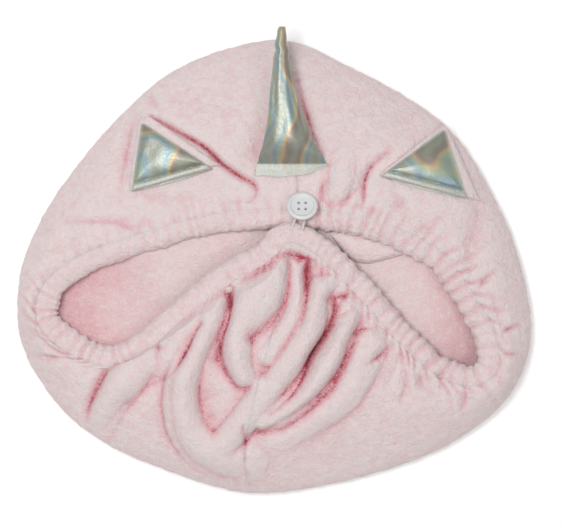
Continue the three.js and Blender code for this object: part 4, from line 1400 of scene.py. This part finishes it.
@dataclass
class InnerFold:
    """The loose fold of the bag's inner side that hangs in the right lobe, under the casing.
    upper and lower are its borders by pixels of the photograph."""

    picture: Picture
    middle: Array
    upper: tuple[tuple[float, float], ...] = ((328, 230), (346, 229), (366, 232), (386, 240), (408, 253))
    lower: tuple[tuple[float, float], ...] = ((334, 240), (349, 259), (366, 264), (386, 260), (406, 254))
    level: float = 21.5 * MM
    bulge: float = 4.0 * MM
    fabric: float = 3 * MM
    steps: int = 96

    def build(self, plush: bpy.types.Material) -> None:
        """Makes a lens that swells like a bell across, its lower border rolled under."""
        across = np.linspace(0, 1, self.steps + 1)
        lines = []
        for path in (self.upper, self.lower):
            lines.append(open_curve(self.picture.places(path, self.level), self.steps) + self.middle)
        places = lines[0][:, None] + (lines[1] - lines[0])[:, None] * across[None, :, None]
        width = np.linalg.norm(lines[1] - lines[0], axis=-1)[:, None]
        ends = np.clip(width / width.max(), 0, 1) ** 0.7
        from_lower = np.clip((1 - across)[None, :] * width / self.fabric, 0, 1)
        rolled = np.sqrt(1 - (1 - from_lower) ** 2)
        swell = np.sin(np.pi * np.clip(across, 0, 1))[None, :] ** 0.8 * ends
        flat = np.dstack([places, 0 * swell])
        lumps = noise(flat, 9 * MM, 51) * 0.6 * MM + noise(flat, 2.6 * MM, 52) * 0.28 * MM
        top = self.level + self.bulge * swell + lumps - self.fabric * (1 - rolled) * 0.9
        outer = np.dstack([places, top])
        inner = np.dstack([places, self.level - self.fabric + 0 * top])[::2, ::2]
        points, faces = closed_sheet(outer, inner)
        # Painted shade on the rolled lower border, lighter on the lumps.
        hollow = np.clip(0.04 + 0.25 * (1 - rolled) - lumps / (9 * MM), 0, 1)
        marks = np.concatenate([hollow.ravel(), hollow[::2, ::2].ravel()])
        piece = put_mesh("inner_fold", points, faces, {"hollow": marks})
        dress(piece, plush, Slot.PLUSH)


class Cut(NamedTuple):
    """A triangle by pixels of the photograph: two corners of its base and its tip,
    counter-clockwise from above, and how blunt its tip is, as a share of its base."""

    right: tuple[float, float]
    left: tuple[float, float]
    tip: tuple[float, float]
    blunt: float


EAR_BACKS = {
    "left": Cut((220.0, 164.8), (127.5, 192.0), (139.6, 109.0), 0.11),
    "right": Cut((481.0, 200.5), (376.5, 175.5), (446.5, 122.0), 0.05),
}
EAR_FACES = {
    "left": Cut((213.0, 169.0), (131.5, 191.5), (141.0, 121.5), 0.035),
    "right": Cut((467.5, 198.5), (380.0, 176.5), (445.5, 128.0), 0.035),
}
EAR_LEVEL = 33 * MM


@dataclass
class Ear:
    """An ear: a puffed foil face with a sewn border on a plush back."""

    side: str
    picture: Picture
    middle: Array
    skin: Skin
    plush: bpy.types.Material
    foil: bpy.types.Material
    steps: int = 96
    border: float = 1.3 * MM
    base_welt: float = 4.2 * MM
    crown: float = 2.2 * MM
    welt: float = 1.1 * MM
    lift: float = 3.2 * MM
    plush_thick: float = 3.0 * MM
    foil_thick: float = 1.3 * MM
    allowance: float = 5 * MM

    def grid(self, cut: Cut) -> tuple[Array, Array, Array, Array]:
        """Spans the triangle by rows from base to tip.

        Args:
            cut: The triangle.

        Returns:
            Places, the share of the way up, and the distances from the nearest side and from
            the base.
        """
        corners = self.picture.places(cut[:3], EAR_LEVEL) + self.middle
        right, left, tip = corners
        up = np.linspace(0, 1, self.steps + 1)[:, None, None]
        across = np.linspace(0, 1, self.steps + 1)[None, :, None]
        base = left + (right - left) * across
        places = tip + (base - tip) * (cut.blunt + (1 - cut.blunt) * (1 - up))
        bow = 0.9 * MM * np.sin(np.pi * across) * (1 - up) ** 2
        places = places - unit(tip - (left + right) / 2) * bow
        sides = [self.from_side(places, a, b) for a, b in ((left, right), (right, tip), (tip, left))]
        end = np.abs(np.cross(tip - left, right - left)) / np.linalg.norm(right - left) * (1 - cut.blunt)
        sides.append(end - sides[0])
        return places, np.broadcast_to(up[..., 0], sides[0].shape), np.min(sides, axis=0), sides[0]

    @staticmethod
    def from_side(places: Array, start: Array, end: Array) -> Array:
        """How far inside the line from start to end the places lie."""
        along = unit(end - start)
        offset = places - start
        return along[0] * offset[..., 1] - along[1] * offset[..., 0]

    def slab(self, name: str, cut: Cut, floor: float, thick: float, crown: Callable) -> bpy.types.Object:
        """Makes a sheet over a triangle that follows the hood and lifts towards its tip."""
        places, up, distance, from_base = self.grid(cut)
        under = self.skin.smooth(places) + self.lift * up**1.5 + floor
        rounded = np.sqrt(np.clip(1 - (1 - np.clip(distance / (0.8 * thick), 0, 1)) ** 2, 0, 1))
        raised, welt = crown(places, distance, from_base)
        top = under + thick * (0.35 + 0.65 * rounded) + raised
        outer = np.concatenate([places, top[..., None]], axis=-1)
        inner = np.concatenate([places, under[..., None]], axis=-1)
        points, faces = closed_sheet(outer, inner[::2, ::2])
        # Painted shade along the sides of the sheet.
        hollow = np.clip(0.20 - distance / (10 * MM), 0.03, 1)
        marks = {"hollow": hollow, "welt": welt}
        both = {mark: np.concatenate([v.ravel(), v[::2, ::2].ravel()]) for mark, v in marks.items()}
        return put_mesh(name, points, faces, both)

    def foil_crown(self, places: Array, distance: Array, from_base: Array) -> tuple[Array, Array]:
        """The face's form: a round welt along the base, thin edges, a groove, a swollen middle.

        Args:
            places: Level places.
            distance: Distances from the nearest side.
            from_base: Distances from the base, whose welt is broader.

        Returns:
            The height that they add, and the welt mark: 1 on the base's, less on the edges.
        """
        flat = np.dstack([places, 0 * distance])
        share = np.clip(from_base / self.base_welt, 0, 1)
        welts = self.welt * np.sqrt(np.clip(1 - (share * 2 - 1) ** 2, 0, 1))
        inside = from_base - self.base_welt
        groove = -0.6 * MM * np.exp(-((inside / (0.7 * MM)) ** 2))
        edge = np.clip(np.minimum(distance, inside) - 0.3 * MM, 0, 1)
        swell = self.crown * (1 - np.exp(-edge / (2.6 * MM)))
        wrinkle = noise(flat * [1, 1.3, 1], 17 * MM, 31) * 0.8 * MM + noise(flat, 8 * MM, 34) * 0.30 * MM
        # The welt mark pales the foil, partly as a painted highlight.
        base_share = 1 - smooth_step(from_base, self.base_welt - 0.5 * MM, self.base_welt + 0.4 * MM)
        side_share = 1 - smooth_step(distance, self.border * 0.4, self.border)
        raised = welts + groove + swell + wrinkle * np.clip(distance / (4 * MM), 0, 1)
        return raised, np.maximum(base_share, 0.6 * side_share)

    def plush_crown(self, places: Array, distance: Array, _: Array) -> tuple[Array, Array]:
        """The back's pile, small soft lumps, with no welt."""
        lumps = noise(np.dstack([places, 0 * distance]), 3.0 * MM, 33) * 0.35 * MM
        return lumps, 0 * lumps

    def build(self) -> None:
        node = f"ear_back_{self.side}"
        cut = EAR_BACKS[self.side]
        back = self.slab(f"ear_plush_{self.side}", cut, -0.6 * MM, self.plush_thick, self.plush_crown)
        dress(back, self.plush, Slot.PLUSH, node)
        self.declare(cut, "panel_" + self.side)
        cut = EAR_FACES[self.side]
        floor = self.plush_thick - 0.5 * MM
        face = self.slab(f"ear_foil_{self.side}", cut, floor, self.foil_thick, self.foil_crown)
        dress(face, self.foil, Slot.FOIL, f"ear_face_{self.side}")
        self.declare(cut, back.name)

    def declare(self, cut: Cut, rests: str) -> None:
        """Works out the area of a triangle of cloth, cut with an allowance turned in along each side, and
        keeps nothing of it.
        """
        right, left, tip = self.picture.places(cut[:3], EAR_LEVEL)
        width = float(np.linalg.norm(right - left)) + 2 * self.allowance
        height = abs(float(self.from_side(tip, left, right))) + self.allowance
        width * height / 2


class Section(NamedTuple):
    """A section across the horn, by the photograph's row: its width and middle in pixels, and
    its thickness in millimetres."""

    row: float
    width: float
    middle: float
    thick: float


HORN = (
    Section(176.0, 74.0, 291.5, 2.4),
    Section(170.5, 73.5, 291.7, 2.6),
    Section(164.5, 70.5, 292.0, 3.0),
    Section(161.0, 67.0, 291.6, 5.5),
    Section(154.5, 62.0, 290.6, 10.5),
    Section(146.0, 54.0, 289.4, 13.6),
    Section(138.0, 48.0, 288.2, 14.8),
    Section(126.0, 41.0, 286.8, 14.8),
    Section(115.0, 35.5, 285.6, 14.4),
    Section(104.0, 30.0, 284.0, 13.6),
    Section(93.0, 25.8, 282.7, 12.6),
    Section(82.0, 22.2, 282.2, 11.6),
    Section(71.0, 19.4, 282.0, 10.6),
    Section(57.0, 15.6, 281.2, 9.2),
    Section(50.0, 13.6, 282.0, 8.6),
    Section(44.0, 12.4, 280.6, 8.0),
    Section(36.0, 10.0, 281.6, 7.0),
    Section(30.0, 8.4, 281.6, 6.2),
    Section(26.5, 6.6, 282.2, 5.2),
)


@dataclass
class Horn:
    """The stuffed foil cone with its flat sewn hem. tilt is how much higher the hem's right end
    lies, and wings how far the cone thins out to its sides over the hem."""

    skin: Skin
    picture: Picture
    middle: Array
    foil: bpy.types.Material
    rings: int = 320
    sides: int = 128
    level: float = 38 * MM
    pleat: float = 0.055
    hem: float = 7.2 * MM
    tilt: float = 5.2 * MM
    wings: float = 1.3
    stitch_depth: float = 0.9 * MM
    stitch_width: float = 0.7 * MM

    def build(self) -> None:
        rows = open_curve(np.array(HORN), self.rings - 1)
        path = np.stack([rows[:, 2], rows[:, 0]], axis=-1)
        centre = self.picture.places(path, self.level) + self.middle
        half = rows[:, 1] / 2 * self.picture.pixel * (1 - self.level / self.picture.distance)
        thick = rows[:, 3] * MM
        turn = np.linspace(0, FULL_TURN, self.sides, endpoint=False)[None, :]
        along = centre[:, 1][:, None] - centre[0, 1]
        still = 0 * along + 0 * turn
        drift = noise(np.dstack([along * 0.5 + still, still, still]), 20 * MM, 41)
        pleats = np.sin(turn * 5 + drift * 2.2) * 0.6 + np.sin(turn * 9 + along * 60) * 0.4
        fullness = smooth_step(along, 0.007, 0.022) * (1 - 0.5 * smooth_step(along, 0.07, 0.088))
        radius = 1 + self.pleat * pleats * fullness * np.clip(np.sin(turn), 0, 1)
        side = np.cos(turn)
        x = centre[:, 0][:, None] + half[:, None] * side * radius
        winged = 0.85 + self.wings * (1 - smooth_step(along, 0.006, 0.040)) * smooth_step(along, 0.003, 0.009)
        rise = np.sign(np.sin(turn)) * np.abs(np.sin(turn)) ** winged
        seat = self.seat(centre, half)
        z = seat[:, None] + thick[:, None] * (0.5 + 0.5 * rise * radius)
        y = np.broadcast_to(centre[:, 1][:, None], x.shape).copy()
        near_hem = 1 - smooth_step(along, 0.0, self.hem)
        y += (self.tilt * smooth_step(side, 0.1, 1.0) + 0.4 * MM * np.sin(side * 7 + 0.6)) * near_hem
        points = np.dstack([x, y, z])
        flat = points.reshape(-1, 3)
        lumps = noise(flat * [1, 0.3, 1], 7.5 * MM, 42) * 0.45 * MM + noise(flat, 3.0 * MM, 43) * 0.10 * MM
        lumps = lumps.reshape(x.shape) * np.clip(np.sin(turn) + 0.35, 0, 1) * (0.25 + 0.75 * fullness)
        points[..., 2] += lumps
        stitch = self.stitch_depth * np.exp(-(((along - self.hem) / self.stitch_width) ** 2))
        points[..., 2] -= stitch * (np.sin(turn) > 0) * np.sin(turn)
        skin, faces = tube(points, False)
        # The hem's welt mark pales the foil, partly as a painted highlight.
        welt = np.broadcast_to(1 - smooth_step(along, self.hem - 0.6 * MM, self.hem + 0.4 * MM), x.shape)
        ends = np.array([1.0, 0.0])
        piece = put_mesh("horn_foil", skin, faces, {"welt": np.concatenate([welt.ravel(), ends])})
        dress(piece, self.foil, Slot.FOIL, "horn")

    def seat(self, centre: Array, half: Array) -> Array:
        """The level of the underside: a straight line over the hood, pressed in a little."""
        sides = np.linspace(-0.7, 0.7, 7)[None, :]
        x = centre[:, 0][:, None] + half[:, None] * sides
        y = np.broadcast_to(centre[:, 1][:, None], x.shape)
        under = self.skin.read(np.dstack([x, y])).mean(axis=1)
        line = np.polyfit(centre[:60, 1], under[:60], 1)
        line[0] = min(line[0], 0.10)
        straight = np.polyval([line[0], under[:20].mean() - line[0] * centre[:20, 1].mean()], centre[:, 1])
        return straight - 0.4 * MM


@dataclass
class Fastening:
    """The four-holed button on its wound thread, and the loop round the thread. axis is the
    radius at which the button's skin ends, and crisp the angle from which its edges are sharp."""

    plastic: bpy.types.Material
    thread: bpy.types.Material
    radius: float = 9 * MM
    thick: float = 2.8 * MM
    dish: float = 1.0 * MM
    rim: float = 2.9 * MM
    hole: float = 0.85 * MM
    pitch: float = 4 * MM
    tilt: float = math.radians(28)
    loop: float = 0.75 * MM
    spread: float = 6.5 * MM
    axis: float = 0.6 * MM
    crisp: float = math.radians(38)
    sides: int = 128

    def build(self) -> None:
        """Makes the button, the thread and the loop."""
        low, high = (np.array(corner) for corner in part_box("button"))
        self.button((low + high) / 2)
        low, high = (np.array(corner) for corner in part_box("button_thread"))
        self.shank(low, high)
        self.strands((low + high) / 2, low)

    def turned(self, rings: Array) -> tuple[Array, Array]:
        """Carries a profile of radius and height round the axis.

        Args:
            rings: Radius and height, a row for each ring, from the axis back to the axis.

        Returns:
            Points and faces of the closed solid.
        """
        turn = np.linspace(0, FULL_TURN, self.sides, endpoint=False)[None, :]
        x = rings[:, 0][:, None] * np.cos(turn)
        y = rings[:, 0][:, None] * np.sin(turn)
        z = np.broadcast_to(rings[:, 1][:, None], x.shape)
        return tube(np.dstack([x, y, z]), False)

    def button(self, centre: Array) -> None:
        """Turns the disc with its rolled rim, drills it, tilts it and sets it in place."""
        half = self.thick / 2
        bend = np.linspace(-np.pi / 2, np.pi / 2, 17)
        side = np.stack([self.radius - half + half * np.cos(bend), half * np.sin(bend)], axis=-1)
        share = np.linspace(0, 1, 15)
        dip = self.dish * smooth_step(share, 0.15, 1.0)
        face = np.stack([self.radius - half - (self.rim - half) * share, half - dip], axis=-1)
        flat = np.array([[self.axis, half - self.dish]])
        base = np.array([[self.axis, -half]])
        points, faces = self.turned(np.vstack([base, side, face[1:], flat]))
        disc = put_mesh("disc", points, faces, {})
        for x, y in ((1, 1), (1, -1), (-1, 1), (-1, -1)):
            self.drill(disc, x * self.pitch / 2, y * self.pitch / 2)
        mesh = disc.data
        count = len(mesh.vertices)
        places = np.empty(count * 3)
        mesh.vertices.foreach_get("co", places)
        x, y, z = places.reshape(-1, 3).T
        cosine, sine = math.cos(self.tilt), math.sin(self.tilt)
        tilted = np.stack([x, y * cosine + z * sine, z * cosine - y * sine], axis=-1)
        mesh.vertices.foreach_set("co", (tilted + centre).ravel())
        mesh.shade_smooth()
        mesh.set_sharp_from_angle(angle=self.crisp)
        mesh.update()
        disc.name = "button_disc"
        dress(disc, self.plastic, Slot.PLASTIC, "button")

    def drill(self, disc: bpy.types.Object, x: float, y: float) -> None:
        """Cuts one round hole through the disc."""
        ends = np.array([[self.hole, -self.thick], [self.hole, self.thick]])
        points, faces = self.turned(ends)
        pin = put_mesh("pin", points + np.array([x, y, 0]), faces, {})
        cut = disc.modifiers.new("hole", "BOOLEAN")
        cut.operation = "DIFFERENCE"
        cut.solver = "EXACT"
        cut.object = pin
        seen = disc.evaluated_get(bpy.context.evaluated_depsgraph_get())
        drilled = bpy.data.meshes.new_from_object(seen)
        disc.modifiers.clear()
        disc.data = drilled
        bpy.data.objects.remove(pin)

    def shank(self, low: Array, high: Array) -> None:
        """Winds the thread: a post whose skin is ribbed by a helix."""
        centre = (low + high) / 2
        level = np.linspace(low[2], high[2], 90)[:, None]
        turn = np.linspace(0, FULL_TURN, 40, endpoint=False)[None, :]
        ribs = np.abs(np.sin((level - low[2]) / (0.62 * MM) * np.pi + turn / 2))
        radius = (high[0] - low[0]) / 2 - 0.28 * MM * (1 - ribs)
        x = centre[0] + radius * np.cos(turn)
        y = centre[1] + radius * np.sin(turn)
        points = np.dstack([x, y, np.broadcast_to(level, x.shape)])
        skin, faces = tube(points, False)
        dress(put_mesh("thread_shank", skin, faces, {}), self.thread, Slot.THREAD, "button_thread")

    def strands(self, shank: Array, low: Array) -> None:
        """Runs the loop from the nape casing round the shank and back, ribbed by its twist.

        Args:
            shank: The middle of the thread's box.
            low: The lowest corner of the thread's box.
        """
        loop_low, loop_high = (np.array(corner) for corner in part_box("button_loop"))
        level = loop_low[2] + self.loop + 0.3 * MM
        reach = (shank[0] - low[0]) + self.loop + 0.25 * MM
        bend = np.linspace(np.pi, 0, 7)[:, None]
        round_shank = shank[:2] + reach * np.hstack([np.cos(bend), np.sin(bend)])
        root = (loop_low[:2] + loop_high[:2]) / 2
        left = np.array([[root[0] - self.spread / 2, loop_low[1]], [shank[0] - reach, shank[1] - reach]])
        right = np.array([[shank[0] + reach, shank[1] - reach], [root[0] + self.spread / 2, loop_low[1]]])
        flat = np.vstack([left, round_shank, right])
        heights = np.full((len(flat), 1), level)
        heights[[0, -1]] = loop_high[2] - self.loop
        path = open_curve(np.hstack([flat, heights]), 420)
        along = unit(np.gradient(path, axis=0))
        side = unit(np.cross(along, [0.0, 0.0, 1.0]))
        up = np.cross(side, along)
        turn = np.linspace(0, FULL_TURN, 28, endpoint=False)[None, :, None]
        walked = np.concatenate([[0.0], np.cumsum(np.linalg.norm(np.diff(path, axis=0), axis=1))])
        twist = np.cos(3 * (turn - (walked / (1.7 * MM))[:, None, None]))
        radius = self.loop * (0.92 + 0.08 * twist)
        rings = path[:, None] + radius * (np.cos(turn) * side[:, None] + np.sin(turn) * up[:, None])
        skin, faces = tube(rings, False)
        dress(put_mesh("loop_cord", skin, faces, {}), self.thread, Slot.THREAD, "button_loop")


@dataclass
class Studio:
    """A plain pale floor, soft light from above and a camera that looks straight down."""

    picture: Picture
    sensor: float = 36.0
    floor_size: float = 3.0
    floor_glow: float = 0.12
    sky: float = 0.69

    def build(self, middle: Array) -> None:
        """Sets up floor, lights, world and camera round the hood's middle."""
        scene = bpy.context.scene
        scene.view_settings.view_transform = "Standard"
        distance = self.picture.distance
        aim = middle + self.picture.places((self.picture.centre,), 0.0)[0]
        camera = bpy.data.objects.new("camera", bpy.data.cameras.new("camera"))
        camera.data.sensor_width = self.sensor
        camera.data.lens = self.sensor * distance / (self.picture.width * self.picture.pixel)
        camera.location = (*aim, distance)
        scene.collection.objects.link(camera)
        scene.camera = camera
        self.floor()
        self.lamp("key", (-0.34, 0.18, 1.6), 0.50, 12.8)
        self.lamp("fill", (0.9, -0.4, 1.5), 1.2, 5.2)
        self.world()

    def world(self) -> None:
        """Lights the sky softly: bright overhead, dimmer towards the horizon and below."""
        world = bpy.data.worlds.new("studio")
        world.use_nodes = True
        tree = world.node_tree
        place = tree.nodes.new("ShaderNodeTexCoord").outputs["Generated"]
        split = tree.nodes.new("ShaderNodeSeparateXYZ")
        ramp = tree.nodes.new("ShaderNodeValToRGB")
        stops = ((0.0, 0.55), (0.30, 0.30), (0.80, 0.75), (1.0, 1.0))
        while len(ramp.color_ramp.elements) < len(stops):
            ramp.color_ramp.elements.new(0.5)
        for element, (at, shade) in zip(ramp.color_ramp.elements, stops):
            element.position = at
            element.color = (shade, shade, shade, 1)
        tree.links.new(place, split.inputs[0])
        tree.links.new(split.outputs["Z"], ramp.inputs["Fac"])
        tree.links.new(ramp.outputs["Color"], tree.nodes["Background"].inputs["Color"])
        tree.nodes["Background"].inputs["Strength"].default_value = self.sky
        bpy.context.scene.world = world

    def floor(self) -> None:
        """Lays the floor, a level square."""
        half = self.floor_size / 2
        corners = np.array([[-half, -half, 0], [half, -half, 0], [half, half, 0], [-half, half, 0]])
        floor = put_mesh("floor", corners, np.array([[0, 1, 2, 3]]), {})
        graph = Graph("floor")
        cloud = graph.cloud(3, 2)
        colour = graph.blend(cloud * 0.2, (1.0, 1.0, 1.0, 1), (0.99, 0.99, 0.99, 1))
        sockets = {"Base Color": colour, "Roughness": 0.9}
        sockets |= {"Emission Color": (1, 1, 1, 1), "Emission Strength": self.floor_glow}
        floor.data.materials.append(graph.finish(sockets))

    def lamp(self, name: str, place: tuple[float, float, float], size: float, power: float) -> None:
        """Adds a square soft light that faces the hood."""
        light = bpy.data.lights.new(name, "AREA")
        light.shape = "SQUARE"
        light.size = size
        light.energy = power
        lamp = bpy.data.objects.new(name, light)
        lamp.location = place
        toward = -np.array(place)
        lamp.rotation_euler = (
            math.atan2(math.hypot(toward[0], toward[1]), -toward[2]),
            0,
            math.atan2(toward[0], -toward[1]),
        )
        bpy.context.scene.collection.objects.link(lamp)


def main() -> None:
    """Builds the pieces in order."""
    logging.basicConfig(level=logging.INFO, format="%(message)s")
    picture = Picture()
    hood = Hood(Plush(), picture)
    Studio(picture).build(hood.middle)
    hood.build()
    InnerFold(picture, hood.middle).build(hood.plush)
    skin = Skin(hood.skin)
    foil = Foil("ear_foil", 45, 80, 8).material()
    horn_foil = Foil("horn_foil", 230, 10, 5).material()
    for side in EAR_FACES:
        Ear(side, picture, hood.middle, skin, hood.plush, foil).build()
    Horn(skin, picture, hood.middle, horn_foil).build()
    Fastening(Plastic().material(), Thread().material()).build()


if __name__ == "__main__":
    main()
